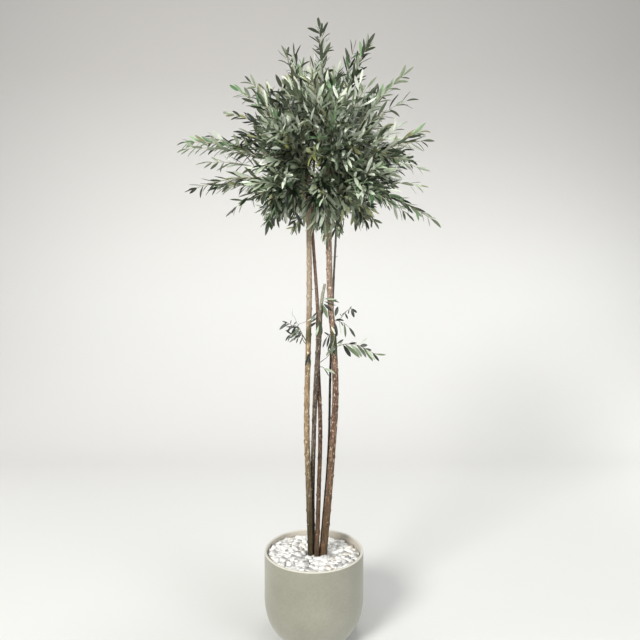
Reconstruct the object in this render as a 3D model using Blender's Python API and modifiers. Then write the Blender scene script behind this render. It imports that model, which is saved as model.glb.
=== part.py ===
"""Potted olive tree: five slender stems in a round-bottomed pot of white pebbles, under one loose head.

Metres, +Z up. The origin is the centre of the pot's flat underside, and -Y is the front.
"""

import math
import random

import bmesh
import bpy
from mathutils import Matrix, Vector

# Pot, filling and pebbles
POT_RADIUS = 0.160
POT_HEIGHT = 0.270
POT_WALL = 0.008
POT_FLOOR = 0.014
FOOT_RADIUS = 0.080
CORNER_HEIGHT = 0.125
POT_STEPS = 32
RIM_STEPS = 4
FILL_TOP = 0.232
BED_TOP = 0.246
PEBBLE_SPACING = 0.0330
PEBBLE_HEIGHT = 0.0080
PEBBLE_JITTER = 0.0065
PEBBLE_JOINT = 0.0030
PEBBLE_LEAN = 0.28
PEBBLE_LIFT = 0.0032
PEBBLE_STAGGER = 0.25
PEBBLE_SEED = 11
HOLE_DROP = 0.001
GAP = 0.0003

# Stems: rings of (height, x, y, radius) from the flat foot to the tip
STEM_STEP = 0.070
LEVEL_FOOT = 0.004
STEM_RESOLUTION = 2
BOUGH_RESOLUTION = 1
STEMS = {
    "stem_left": [
        (FILL_TOP + GAP, -0.0095, 0.000, 0.0098),
        (0.500, -0.0182, -0.001, 0.0094),
        (0.700, -0.0236, -0.002, 0.0090),
        (1.080, -0.0154, 0.000, 0.0087),
        (1.360, -0.0172, 0.000, 0.0080),
        (1.572, -0.0165, -0.005, 0.0046),
    ],
    "stem_middle": [
        (FILL_TOP + GAP, -0.0040, 0.019, 0.0080),
        (0.460, -0.0050, 0.013, 0.0074),
        (0.750, 0.0033, -0.004, 0.0076),
        (0.920, 0.0140, -0.008, 0.0084),
        (1.045, 0.0190, -0.008, 0.0092),
    ],
    "stem_middle_thin": [
        (FILL_TOP + GAP, 0.0080, -0.012, 0.0078),
        (0.460, 0.0155, -0.008, 0.0070),
        (0.660, 0.0205, 0.000, 0.0068),
        (0.880, 0.0130, 0.011, 0.0062),
        (1.060, 0.0108, 0.016, 0.0056),
        (1.270, -0.0030, 0.019, 0.0050),
        (1.360, -0.0070, 0.021, 0.0048),
        (1.581, 0.0010, 0.070, 0.0034),
    ],
    "stem_right": [
        (FILL_TOP + GAP, 0.0280, 0.002, 0.0120),
        (0.460, 0.0490, -0.002, 0.0110),
        (0.750, 0.0690, -0.004, 0.0101),
        (0.950, 0.0635, -0.004, 0.0099),
        (1.080, 0.0525, -0.004, 0.0095),
        (1.360, 0.0455, -0.004, 0.0090),
        (1.600, 0.0340, -0.002, 0.0050),
    ],
    "stem_right_thin": [
        (FILL_TOP + GAP, 0.0200, 0.024, 0.0048),
        (0.395, 0.0335, 0.019, 0.0043),
        (0.525, 0.0440, 0.018, 0.0041),
        (0.655, 0.0500, 0.017, 0.0040),
        (0.820, 0.0528, 0.016, 0.0039),
        (1.080, 0.0617, 0.018, 0.0037),
        (1.240, 0.0694, 0.020, 0.0036),
        (1.360, 0.0765, 0.026, 0.0036),
        (1.572, 0.0920, 0.055, 0.0028),
    ],
}
STUB_TOP = Vector((0.0350, -0.011, 1.130))
STUB_RADII = (0.0058, 0.0046)
STUB_BEND = 0.03
STUB_OFFSET = 0.0028

# The head: every mass keeps to a cone that widens outwards from this point
FOCUS = Vector((0.026, 0.0, 1.462))
HEART_REACH = 0.25
BOUGH_REACH = 0.092
TOP_BOUGH_REACH = 0.140
BOUGH_SHARE = 0.55
BOUGH_RISE = 0.35
STEEP = 60
BOUGH_SEGMENTS = 3
BOUGH_TIP_RADIUS = 0.0026
CELL_GAP = 0.0016
TWIG_CLEARANCE = 0.0012
LEAF_CLEARANCE = 0.0060
TEST_SHARES = (0.2, 0.4, 0.6, 0.8, 1.0)

# name: (azimuth, elevation, reach of the furthest tip, stem, height of its bough's root)
# Azimuth 0 is +X, 90 is the back and 270 the front. A mass with no height sits on its stem's own tip.
MASSES = {
    "low_left": (181, -3, 0.455, "stem_left", 1.395),
    "low_front_left": (226, -19, 0.330, "stem_left", 1.420),
    "low_front": (271, -26, 0.285, "stem_right", 1.385),
    "low_front_right": (316, -21, 0.320, "stem_right", 1.412),
    "low_right": (358, -19, 0.418, "stem_right_thin", 1.385),
    "low_back_right": (44, -19, 0.320, "stem_right_thin", 1.412),
    "low_back": (90, -22, 0.310, "stem_middle_thin", 1.415),
    "low_back_left": (137, -18, 0.330, "stem_left", 1.448),
    "mid_left": (178, 17, 0.510, "stem_left", 1.470),
    "mid_front_left": (236, 21, 0.345, "stem_left", 1.494),
    "mid_front": (286, 17, 0.330, "stem_right", 1.448),
    "mid_right": (342, 17, 0.385, "stem_right", 1.474),
    "mid_back_right": (24, 22, 0.370, "stem_right_thin", 1.455),
    "mid_back": (76, 20, 0.345, "stem_middle_thin", 1.462),
    "mid_back_left": (127, 22, 0.350, "stem_middle_thin", 1.495),
    "upper_left": (184, 47, 0.440, "stem_left", 1.522),
    "upper_front": (262, 50, 0.385, "stem_right", 1.505),
    "upper_right": (341, 49, 0.450, "stem_right", 1.530),
    "upper_back_right": (41, 52, 0.395, "stem_right_thin", None),
    "upper_back": (110, 57, 0.400, "stem_middle_thin", None),
    "top_left": (187, 74, 0.460, "stem_left", None),
    "top_right": (357, 72, 0.505, "stem_right", 1.558),
    "top": (90, 87, 0.547, "stem_right", None),
}

# Short side shoots below the head: (stem, height, azimuth, reach out, reach up)
SPRIGS = {
    "sprig_left": ("stem_left", 0.938, 188, 0.056, 0.048),
    "sprig_right": ("stem_right", 0.922, 352, 0.118, -0.012),
    "sprig_upper_right": ("stem_right", 0.985, 8, 0.066, 0.030),
    "sprig_front": ("stem_middle", 0.872, 285, 0.030, 0.120),
}
SPRIG_ROOT = 0.6
SPRIG_TWIGS = 2
SPRIG_SEED = 50
SPRIG_LEAF = 0.52
SPRIG_HEART = 0.8

# Twigs and leaves
TWIG_SIDES = 3
LEADER_RADII = (0.0024, 0.0013)
SIDE_TWIG_RADII = (0.0017, 0.0010)
SIDE_TWIGS = 4
SIDE_TWIG_SHARES = (0.62, 0.28)
SIDE_TWIG_TRIES = 4
SIDE_TWIG_SHRINK = 0.82
SIDE_TWIG_VARIETY = (0.85, 1.1)
SPREAD = (0.62, 0.95)
NECK = 0.006
LEADER_SEGMENTS = 3
ARCH = 0.16
FIRST_TWIG = 0.12
LAST_TWIG = 0.74
FIRST_LEAF = 0.18
LAST_LEAF = 0.97
GOLDEN_TURN = math.radians(137.5)
LEAF_LENGTH = 0.094
LEAF_WIDTH = 0.0250
LEAF_THICKNESS = 0.0030
LEAF_WIDEST = 0.42
LEAF_VARIETY = (0.8, 1.1)
LEAF_TURN_VARIETY = 0.3
TIP_LEAF_SHARE = 0.85
LEAF_SPACING = 0.042
SAG = 0.10

MATERIALS = {
    "pot_clay": ((0.42, 0.41, 0.35), 0.75),
    "filling": ((0.08, 0.06, 0.04), 0.95),
    "pebble": ((0.86, 0.86, 0.82), 0.60),
    "bark_tan": ((0.42, 0.32, 0.22), 0.80),
    "bark_brown": ((0.22, 0.14, 0.10), 0.85),
    "leaf": ((0.13, 0.19, 0.11), 0.60),
}


def clear_scene():
    for obj in list(bpy.data.objects):
        bpy.data.objects.remove(obj, do_unlink=True)


def new_collection(name, hidden=False):
    collection = bpy.data.collections.new(name)
    collection.hide_render = hidden
    bpy.context.scene.collection.children.link(collection)
    return collection


def make_material(name):
    colour, roughness = MATERIALS[name]
    material = bpy.data.materials.new(name)
    material.use_nodes = True
    shader = material.node_tree.nodes["Principled BSDF"]
    shader.inputs["Base Color"].default_value = (*colour, 1.0)
    shader.inputs["Roughness"].default_value = roughness
    return material


def add_object(name, data, collection, material=None):
    obj = bpy.data.objects.new(name, data)
    collection.objects.link(obj)
    if material is not None:
        data.materials.append(material)
    return obj


def mesh_from(bm, name):
    mesh = bpy.data.meshes.new(name)
    bm.to_mesh(mesh)
    bm.free()
    return mesh


def direction(azimuth, elevation):
    turn, lift = math.radians(azimuth), math.radians(elevation)
    flat = math.cos(lift)
    return Vector((flat * math.cos(turn), flat * math.sin(turn), math.sin(lift)))


# Smooth lines through a few rings


def spline_value(before, start, end, after, t):
    """Catmull-Rom value between start and end, for rings of any number of values."""
    found = []
    for a, b, c, d in zip(before, start, end, after):
        cubic = (3 * b - a - 3 * c + d) * t**3
        square = (2 * a - 5 * b + 4 * c - d) * t**2
        found.append(0.5 * (2 * b + (c - a) * t + square + cubic))
    return found


def stem_path(rings):
    """(points, radii) along a stem, a ring about every step of its height."""
    points, radii = [], []
    for i in range(len(rings) - 1):
        before = rings[max(i - 1, 0)]
        after = rings[min(i + 2, len(rings) - 1)]
        count = max(1, round((rings[i + 1][0] - rings[i][0]) / STEM_STEP))
        for k in range(count):
            z, x, y, radius = spline_value(before, rings[i], rings[i + 1], after, k / count)
            points.append(Vector((x, y, z)))
            radii.append(radius)
    z, x, y, radius = rings[-1]
    points.append(Vector((x, y, z)))
    radii.append(radius)
    points.insert(1, points[0] + Vector((0, 0, LEVEL_FOOT)))
    radii.insert(1, radii[0])
    return points, radii


def bend_path(start, middle, end, count):
    """Points on a quadratic curve from start to end, drawn towards middle."""
    found = []
    for i in range(count + 1):
        t = i / count
        found.append(start * (1 - t) ** 2 + middle * 2 * t * (1 - t) + end * t**2)
    return found


def point_at_height(limb, height):
    points = limb["points"]
    for a, b, ra, rb in zip(points, points[1:], limb["radii"], limb["radii"][1:]):
        if a.z <= height <= b.z:
            share = (height - a.z) / (b.z - a.z)
            return a.lerp(b, share), ra + (rb - ra) * share
    return points[-1], limb["radii"][-1]


# Limbs: curves with a round bevel that tapers


def limb_curve(name, points, radii, collection, material=None, resolution=STEM_RESOLUTION):
    """A POLY curve whose round bevel follows the radii."""
    curve = bpy.data.curves.new(name, "CURVE")
    curve.dimensions = "3D"
    curve.bevel_depth = 1.0
    curve.bevel_resolution = resolution
    curve.use_fill_caps = True
    spline = curve.splines.new("POLY")
    spline.points.add(len(points) - 1)
    for slot, point, radius in zip(spline.points, points, radii):
        slot.co = (*point, 1.0)
        slot.radius = radius
    return add_object(name, curve, collection, material)


def mesh_of_curve(obj, collection):
    """Replaces a curve object by its welded mesh, and keeps its name."""
    bpy.context.view_layer.update()
    evaluated = obj.evaluated_get(bpy.context.evaluated_depsgraph_get())
    mesh = bpy.data.meshes.new_from_object(evaluated)
    bm = bmesh.new()
    bm.from_mesh(mesh)
    bmesh.ops.remove_doubles(bm, verts=bm.verts, dist=0.00001)
    bmesh.ops.recalc_face_normals(bm, faces=bm.faces)
    bm.to_mesh(mesh)
    bm.free()
    name, matrix = obj.name, obj.matrix_world.copy()
    bpy.data.objects.remove(obj)
    solid = add_object(name, mesh, collection)
    solid.matrix_world = matrix
    return solid


def boolean(obj, operation, other=None, collection=None, solver="EXACT"):
    """Applies one Boolean with an object or a collection."""
    modifier = obj.modifiers.new(operation.title(), "BOOLEAN")
    modifier.operation = operation
    modifier.solver = solver
    if collection is None:
        modifier.object = other
    else:
        modifier.operand_type = "COLLECTION"
        modifier.collection = collection
    bpy.context.view_layer.update()
    evaluated = obj.evaluated_get(bpy.context.evaluated_depsgraph_get())
    mesh = bpy.data.meshes.new_from_object(evaluated)
    obj.modifiers.clear()
    obj.data = mesh


def swollen_limb(limb, name, collection):
    """The limb grown by the gap on every side, to cut its neighbours with."""
    points, radii = list(limb["points"]), [r + GAP for r in limb["radii"]]
    return mesh_of_curve(limb_curve(name, points, radii, collection), collection)


# Pot, filling and pebbles


def turned_object(name, profile, collection, material):
    """A solid of revolution whose profile starts and ends on the axis and runs down its outer side."""
    bm = bmesh.new()
    corners = [bm.verts.new((radius, 0.0, height)) for radius, height in profile]
    for a, b in zip(corners, corners[1:]):
        bm.edges.new((a, b))
    obj = add_object(name, mesh_from(bm, name), collection, material)
    turn = obj.modifiers.new("Turn", "SCREW")
    turn.steps = turn.render_steps = POT_STEPS
    turn.use_merge_vertices = True
    turn.merge_threshold = 0.00005
    return obj


def corner_arc(radius, foot, low, high, count):
    """Points of a quarter ellipse from the wall (radius, high) round to the foot (foot, low)."""
    found = []
    for i in range(count + 1):
        angle = math.pi / 2 * i / count
        across = foot + (radius - foot) * math.cos(angle)
        found.append((across, high - (high - low) * math.sin(angle)))
    return found


def make_pot(collection, material):
    lip = POT_WALL / 2
    rim = []
    for i in range(RIM_STEPS + 1):
        angle = math.pi * (i / RIM_STEPS - 0.5)
        across = POT_RADIUS - lip + lip * math.sin(angle)
        rim.append((across, POT_HEIGHT - lip + lip * math.cos(angle)))
    inside = corner_arc(POT_RADIUS - POT_WALL, FOOT_RADIUS, POT_FLOOR, CORNER_HEIGHT, 4)
    outside = corner_arc(POT_RADIUS, FOOT_RADIUS, 0.0, CORNER_HEIGHT, 6)
    profile = [(0.0, POT_FLOOR), *inside[::-1], *rim, *outside, (0.0, 0.0)]
    return turned_object("pot", profile, collection, material)


def make_filling(collection, material):
    radius = POT_RADIUS - POT_WALL - GAP
    side = corner_arc(radius, FOOT_RADIUS, POT_FLOOR + GAP, CORNER_HEIGHT, 2)
    profile = [(0.0, FILL_TOP), (radius, FILL_TOP), *side, (0.0, POT_FLOOR + GAP)]
    return turned_object("potting_fill", profile, collection, material)


def make_pebble_bed(collection, material, stems):
    """A round slab whose top is broken into angular chips, with a hole for each stem."""
    rng = random.Random(PEBBLE_SEED)
    radius = POT_RADIUS - POT_WALL - GAP
    base = FILL_TOP + GAP
    bm = bmesh.new()
    rows = round(2 * radius / PEBBLE_SPACING) + 1
    bmesh.ops.create_grid(bm, x_segments=rows, y_segments=rows, size=rows * PEBBLE_SPACING / 2)
    for vert in bm.verts:
        row = round(vert.co.y / PEBBLE_SPACING - 0.5)
        vert.co.x += PEBBLE_SPACING * (PEBBLE_STAGGER if row % 2 else -PEBBLE_STAGGER)
        vert.co.x += rng.uniform(-1, 1) * PEBBLE_JITTER
        vert.co.y += rng.uniform(-1, 1) * PEBBLE_JITTER
        vert.co.z = BED_TOP - PEBBLE_HEIGHT
    chips = bm.faces[:]
    raised = bmesh.ops.extrude_face_region(bm, geom=chips)["geom"]
    under = [item for item in raised if isinstance(item, bmesh.types.BMFace)]
    for vert in {vert for face in under for vert in face.verts}:
        vert.co.z = base - PEBBLE_HEIGHT
    tops = [face for face in bm.faces if all(v.co.z > base for v in face.verts)]
    bmesh.ops.inset_individual(bm, faces=tops, thickness=PEBBLE_JOINT)
    for face in tops:
        centre = face.calc_center_median()
        lift = PEBBLE_HEIGHT + rng.uniform(-1, 1) * PEBBLE_LIFT
        lean = Vector((rng.uniform(-1, 1), rng.uniform(-1, 1), 0)) * PEBBLE_LEAN
        for vert in face.verts:
            vert.co.z += lift + lean.dot(vert.co - centre)
    bmesh.ops.recalc_face_normals(bm, faces=bm.faces)
    bed = add_object("pebble_bed", mesh_from(bm, "pebble_bed"), collection)
    cutters = new_collection("bed_cutters", hidden=True)
    profile = [(0.0, POT_HEIGHT), (radius, POT_HEIGHT), (radius, base), (0.0, base)]
    wall = turned_object("bed_wall", profile, cutters, None)
    boolean(bed, "INTERSECT", other=wall)
    remove_all(cutters)
    holes = new_collection("stem_holes", hidden=True)
    for limb in stems.values():
        cutter = swollen_limb(limb, "hole", holes)
        cutter.location.z -= HOLE_DROP
    boolean(bed, "DIFFERENCE", collection=holes, solver="MANIFOLD")
    remove_all(holes)
    bed.data.materials.clear()
    bed.data.materials.append(material)
    return bed


def keep_one_body(obj):
    """Fills hollows that fusing sealed and drops loose scraps: only the largest shell stays."""
    bm = bmesh.new()
    bm.from_mesh(obj.data)
    waiting = set(bm.verts)
    shells = []
    while waiting:
        shell, edge = set(), [waiting.pop()]
        while edge:
            vert = edge.pop()
            shell.add(vert)
            fresh = {e.other_vert(vert) for e in vert.link_edges} & waiting
            waiting -= fresh
            edge.extend(fresh)
        shells.append(shell)
    largest = max(shells, key=len)
    doomed = [vert for shell in shells if shell is not largest for vert in shell]
    bmesh.ops.delete(bm, geom=doomed, context="VERTS")
    bm.to_mesh(obj.data)
    bm.free()


def remove_all(collection):
    for obj in list(collection.objects):
        bpy.data.objects.remove(obj, do_unlink=True)
    bpy.data.collections.remove(collection)


# Stems and boughs


def make_stems(collection, materials):
    stems = {}
    for name, rings in STEMS.items():
        points, radii = stem_path(rings)
        bark = "bark_tan" if name == "stem_left" else "bark_brown"
        limb_curve(name, points, radii, collection, materials[bark])
        stems[name] = {"points": points, "radii": radii}
    return stems


def seat_on(limb):
    """The point just clear of a limb's flat tip, and the way the limb heads there."""
    tip = limb["points"][-1]
    heading = (tip - limb["points"][-2]).normalized()
    return tip + heading * GAP, heading


def make_stub(collection, material, stems):
    """The pale shoot on the middle stem's sawn top, itself cut off."""
    foot, heading = seat_on(stems["stem_middle"])
    foot += Vector((0, 1, 0)).cross(heading).normalized() * STUB_OFFSET
    neck = foot + heading * NECK
    points = [foot, *bend_path(neck, neck + heading * STUB_BEND, STUB_TOP, 3)]
    radii = taper(STUB_RADII, len(points))
    limb_curve("stem_stub", points, radii, collection, material)
    return {"points": points, "radii": radii}


def make_boughs(collection, material, stems):
    """One tapering limb for each mass that doesn't sit on a stem's own tip."""
    boughs = {}
    cutters = new_collection("bough_cutters", hidden=True)
    for name, (azimuth, elevation, _, stem, height) in MASSES.items():
        if height is None:
            continue
        root, stem_radius = point_at_height(stems[stem], height)
        reach = TOP_BOUGH_REACH if elevation > STEEP else BOUGH_REACH
        tip = FOCUS + direction(azimuth, elevation) * reach
        span = (tip - root).length
        outward = (tip - root).normalized()
        middle = root + (outward + Vector((0, 0, BOUGH_RISE))).normalized() * span * 0.5
        points = bend_path(root, middle, tip, BOUGH_SEGMENTS)
        thick = max(BOUGH_TIP_RADIUS, stem_radius * BOUGH_SHARE)
        radii = taper((thick, BOUGH_TIP_RADIUS), len(points))
        curve = limb_curve("bough_" + name, points, radii, collection, None, BOUGH_RESOLUTION)
        bough = mesh_of_curve(curve, collection)
        cutter = swollen_limb(stems[stem], "cutter", cutters)
        boolean(bough, "DIFFERENCE", other=cutter)
        bpy.data.objects.remove(cutter)
        bough.data.materials.clear()
        bough.data.materials.append(material)
        boughs[name] = {"points": points, "radii": radii}
    remove_all(cutters)
    return boughs


# Masses of foliage


def twig_mesh(points, radii):
    """A tapering three-sided twig, extruded ring by ring along its points."""
    bm = bmesh.new()
    ring = bmesh.ops.create_circle(bm, cap_ends=True, segments=TWIG_SIDES, radius=1.0)
    face = bm.faces[:][0]
    along = (points[1] - points[0]).normalized()
    frame = along.to_track_quat("Z", "X").to_matrix()
    for vert in ring["verts"]:
        vert.co = points[0] + frame @ (vert.co * radii[0])
    for i in range(1, len(points)):
        before = (points[i] - points[i - 1]).normalized()
        after = (points[min(i + 1, len(points) - 1)] - points[i]).normalized()
        facing = (before + after).normalized() if i < len(points) - 1 else before
        turn = along.rotation_difference(facing).to_matrix()
        grown = bmesh.ops.extrude_face_region(bm, geom=[face, *face.edges])["geom"]
        face = next(item for item in grown if isinstance(item, bmesh.types.BMFace))
        for vert in face.verts:
            spoke = turn @ (vert.co - points[i - 1])
            vert.co = points[i] + spoke * (radii[i] / radii[i - 1])
        along = facing
    bmesh.ops.recalc_face_normals(bm, faces=bm.faces)
    return mesh_from(bm, "twig")


def leaf_corners(root, heading, flat, length):
    """The five corners of a leaf: root, tip, left, right and the ridge along its upper side."""
    side = flat.cross(heading).normalized()
    face = heading.cross(side)
    widest = root + heading * length * LEAF_WIDEST
    across = side * LEAF_WIDTH / 2 * length / LEAF_LENGTH
    return [root, root + heading * length, widest + across, widest - across, widest + face * LEAF_THICKNESS]


def leaf_mesh(corners):
    """A leaf of six triangles: a low pyramid on four corners, drawn out to a lance."""
    root, tip, left, right, ridge = corners
    bm = bmesh.new()
    bmesh.ops.create_cone(bm, cap_ends=True, segments=4, radius1=1.0, radius2=0.0, depth=1.0)
    for vert in bm.verts:
        x, y, z = vert.co
        if z > 0:
            vert.co = ridge
        elif abs(x) > abs(y):
            vert.co = tip if x > 0 else root
        else:
            vert.co = left if y > 0 else right
    return mesh_from(bm, "leaf")


def distance_to_limb(point, limb):
    """How far the point is outside the limb's surface."""
    nearest = 1.0
    points, radii = limb["points"], limb["radii"]
    for a, b, ra, rb in zip(points, points[1:], radii, radii[1:]):
        span = b - a
        share = min(1.0, max(0.0, (point - a).dot(span) / span.length_squared))
        radius = ra + (rb - ra) * share
        nearest = min(nearest, (point - a - span * share).length - radius)
    return nearest


class Space:
    """The room that one mass keeps to: nearer its own heart than any other, and clear of every limb."""

    def __init__(self, name, hearts, limbs):
        self.walls = []
        own = hearts[name]
        for other, heart in hearts.items():
            if other != name:
                away = (heart - own).normalized()
                self.walls.append((away, away.dot((heart + own) / 2) - CELL_GAP / 2))
        self.limbs = [limb for limb in limbs if distance_to_limb(own, limb) < HEART_REACH * 2]

    def holds(self, point, margin=0.0):
        return all(away.dot(point) < limit - margin for away, limit in self.walls)

    def clear(self, point, margin):
        return all(distance_to_limb(point, limb) > margin for limb in self.limbs)

    def takes_leaf(self, corners):
        root, tip, left, right = corners[:4]
        inside = all(self.holds(corner) for corner in corners)
        tests = [root.lerp(tip, share) for share in TEST_SHARES] + [left, right]
        return inside and all(self.clear(test, LEAF_CLEARANCE) for test in tests)

    def takes_twig(self, points, radius):
        tests = [a.lerp(b, share) for a, b in zip(points, points[1:]) for share in TEST_SHARES]
        margin = radius + TWIG_CLEARANCE
        return all(self.holds(test, radius) and self.clear(test, margin) for test in tests)


def along_path(points, share):
    """(place, heading) at a share of the way along."""
    place = share * (len(points) - 1)
    i = min(int(place), len(points) - 2)
    heading = (points[i + 1] - points[i]).normalized()
    return points[i].lerp(points[i + 1], place - i), heading


def side_direction(heading, spin, spread):
    """A direction that leans out from heading by spread, turned round it by spin."""
    across = heading.orthogonal().normalized()
    across.rotate(Matrix.Rotation(spin, 3, heading))
    return (heading * math.cos(spread) + across * math.sin(spread)).normalized()


def leaves_along(points, rng, space, leaf_size):
    """Leaf pairs along a twig, each a quarter turn on from the last, and one leaf at the tip."""
    total = sum((b - a).length for a, b in zip(points, points[1:]))
    count = max(1, round(total * (1 - FIRST_LEAF) / (LEAF_SPACING * leaf_size)))
    length = LEAF_LENGTH * leaf_size
    found = []
    spin = rng.uniform(0, math.pi)
    for i in range(count):
        place, heading = along_path(points, FIRST_LEAF + (LAST_LEAF - FIRST_LEAF) * (i + 0.5) / count)
        spin += math.pi / 2 + rng.uniform(-LEAF_TURN_VARIETY, LEAF_TURN_VARIETY)
        for half in (0, math.pi):
            lean = side_direction(heading, spin + half, rng.uniform(*SPREAD))
            lean = (lean - Vector((0, 0, SAG))).normalized()
            corners = leaf_corners(place, lean, heading, length * rng.uniform(*LEAF_VARIETY))
            if space.takes_leaf(corners):
                found.append(corners)
    tip, heading = along_path(points, LAST_LEAF)
    corners = leaf_corners(tip, heading, heading.orthogonal(), length)
    if space.takes_leaf(corners):
        found.append(corners)
    return found


def taper(radii, count):
    start, end = radii
    return [start + (end - start) * i / (count - 1) for i in range(count)]


def arched_path(start, end, space):
    """Points that rise over the straight line to the end as far as the space allows."""
    points = []
    for arch in (ARCH, ARCH / 2, 0.0):
        middle = start.lerp(end, 0.5) + Vector((0, 0, arch * (end - start).length))
        points = bend_path(start, middle, end, LEADER_SEGMENTS)
        if space.takes_twig(points, LEADER_RADII[0]):
            break
    return points


def grow_twigs(root, heading, target, rng, space, side_count):
    """The leader from its root to the target, and the side twigs that the space lets it carry."""
    span = (target - root).length
    leader = [root, *arched_path(root + heading * NECK, target, space)]
    sides = []
    spin = rng.uniform(0, math.tau)
    for i in range(side_count):
        share = FIRST_TWIG + (LAST_TWIG - FIRST_TWIG) * i / max(1, side_count - 1)
        place, along = along_path(leader, share)
        longest, shortest = SIDE_TWIG_SHARES
        length = span * (longest + (shortest - longest) * share) * rng.uniform(*SIDE_TWIG_VARIETY)
        for attempt in range(SIDE_TWIG_TRIES):
            spin += GOLDEN_TURN
            lean = side_direction(along, spin, rng.uniform(*SPREAD))
            end = place + lean * length * SIDE_TWIG_SHRINK**attempt
            end.z -= SAG * length
            if space.takes_twig([place, end], SIDE_TWIG_RADII[0]):
                sides.append([place, end])
                break
    return leader, sides


def fuse_mass(name, pieces, collection, material, cutter=None):
    """One Boolean union joins everything to the first piece, the leader."""
    body = add_object(name, pieces[0], collection)
    others = new_collection(name + "_pieces", hidden=True)
    for mesh in pieces[1:]:
        add_object("piece", mesh, others)
    boolean(body, "UNION", collection=others, solver="MANIFOLD")
    remove_all(others)
    if cutter is not None:
        boolean(body, "DIFFERENCE", other=cutter, solver="MANIFOLD")
    keep_one_body(body)
    body.data.materials.clear()
    body.data.materials.append(material)


def mass_pieces(root, heading, target, space, seed, side_count=SIDE_TWIGS, leaf_size=1.0):
    """Meshes of one mass: its leader, its side twigs and its leaves."""
    rng = random.Random(seed)
    leader, sides = grow_twigs(root, heading, target, rng, space, side_count)
    leaves = leaves_along(leader, rng, space, leaf_size)
    for twig in sides:
        leaves += leaves_along(twig, rng, space, leaf_size)
    pieces = [twig_mesh(leader, taper(LEADER_RADII, len(leader)))]
    pieces += [twig_mesh(twig, SIDE_TWIG_RADII) for twig in sides]
    pieces += [leaf_mesh(corners) for corners in leaves]
    return pieces


def make_masses(collection, material, stems, boughs, spaces):
    for seed, (name, (azimuth, elevation, reach, stem, height)) in enumerate(MASSES.items()):
        root, heading = seat_on(stems[stem] if height is None else boughs[name])
        target = FOCUS + direction(azimuth, elevation) * (reach - LEAF_LENGTH * TIP_LEAF_SHARE)
        pieces = mass_pieces(root, heading, target, spaces[name], seed)
        fuse_mass("mass_" + name, pieces, collection, material)


def sprig_line(stems, name):
    """Where a sprig starts inside its stem, and where its leader ends."""
    stem, height, azimuth, out, up = SPRIGS[name]
    centre, radius = point_at_height(stems[stem], height)
    outward = direction(azimuth, 0)
    root = centre + outward * radius * SPRIG_ROOT
    return root, root + outward * (radius + out) + Vector((0, 0, up))


def make_sprigs(collection, material, stems, spaces):
    """Short leafy shoots straight from the stems, cut clear of the bark."""
    cutters = new_collection("sprig_cutters", hidden=True)
    for seed, (name, (stem, _, azimuth, _, _)) in enumerate(SPRIGS.items()):
        root, target = sprig_line(stems, name)
        heading = direction(azimuth, 0)
        space = spaces[name]
        pieces = mass_pieces(root, heading, target, space, SPRIG_SEED + seed, SPRIG_TWIGS, SPRIG_LEAF)
        cutter = swollen_limb(stems[stem], "cutter", cutters)
        fuse_mass(name, pieces, collection, material, cutter)
        bpy.data.objects.remove(cutter)
    remove_all(cutters)


def make_spaces(stems, boughs, stub):
    """The room of every mass and sprig."""
    hearts = {n: FOCUS + direction(a, e) * HEART_REACH for n, (a, e, *_) in MASSES.items()}
    for name in SPRIGS:
        root, target = sprig_line(stems, name)
        hearts[name] = root.lerp(target, SPRIG_HEART)
    limbs = [*stems.values(), *boughs.values(), stub]
    return {name: Space(name, hearts, limbs) for name in hearts}


def main():
    clear_scene()
    tree = new_collection("potted_olive_tree")
    materials = {name: make_material(name) for name in MATERIALS}
    stems = make_stems(tree, materials)
    stub = make_stub(tree, materials["bark_tan"], stems)
    make_pot(tree, materials["pot_clay"])
    make_filling(tree, materials["filling"])
    make_pebble_bed(tree, materials["pebble"], stems)
    boughs = make_boughs(tree, materials["bark_brown"], stems)
    spaces = make_spaces(stems, boughs, stub)
    make_masses(tree, materials["leaf"], stems, boughs, spaces)
    make_sprigs(tree, materials["leaf"], stems, spaces)


main()
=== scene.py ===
import math
import random

import bmesh
import bpy
import numpy as np
from mathutils import Matrix, Vector, noise


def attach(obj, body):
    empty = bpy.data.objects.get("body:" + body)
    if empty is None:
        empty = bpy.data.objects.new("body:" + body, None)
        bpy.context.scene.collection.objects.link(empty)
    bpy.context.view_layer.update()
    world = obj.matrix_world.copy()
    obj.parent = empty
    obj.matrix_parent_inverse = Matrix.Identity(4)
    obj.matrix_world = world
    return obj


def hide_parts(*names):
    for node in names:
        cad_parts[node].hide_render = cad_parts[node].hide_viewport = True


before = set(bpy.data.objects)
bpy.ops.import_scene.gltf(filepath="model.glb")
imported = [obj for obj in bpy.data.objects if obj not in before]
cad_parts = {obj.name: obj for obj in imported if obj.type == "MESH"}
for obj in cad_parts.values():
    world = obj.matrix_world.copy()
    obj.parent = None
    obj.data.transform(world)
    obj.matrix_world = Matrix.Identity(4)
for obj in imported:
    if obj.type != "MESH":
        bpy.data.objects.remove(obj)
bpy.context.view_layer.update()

goldenAngle = math.radians(137.5)  # twigs and chips are spread by it


# Small helpers

def screenColour(red, green, blue):  # 0-255 screen values to a shader's linear colour
    values = [value / 255 for value in (red, green, blue)]
    return (*[v / 12.92 if v <= 0.04045 else ((v + 0.055) / 1.055) ** 2.4 for v in values], 1.0)


def linkPiece(name, mesh, materials, nodes):
    piece = bpy.data.objects.new(name, mesh)
    bpy.context.scene.collection.objects.link(piece)
    for material in materials:
        mesh.materials.append(material)
    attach(piece, "root")
    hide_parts(*nodes)


def meshFromBmesh(name, bm):
    mesh = bpy.data.meshes.new(name)
    bm.to_mesh(mesh)
    bm.free()
    return mesh


def arraysFromBmesh(bm):
    bm.verts.index_update()
    points = np.array([vert.co[:] for vert in bm.verts])
    triangles = np.array([[vert.index for vert in face.verts] for face in bm.faces])
    bm.free()
    return points, triangles


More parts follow.
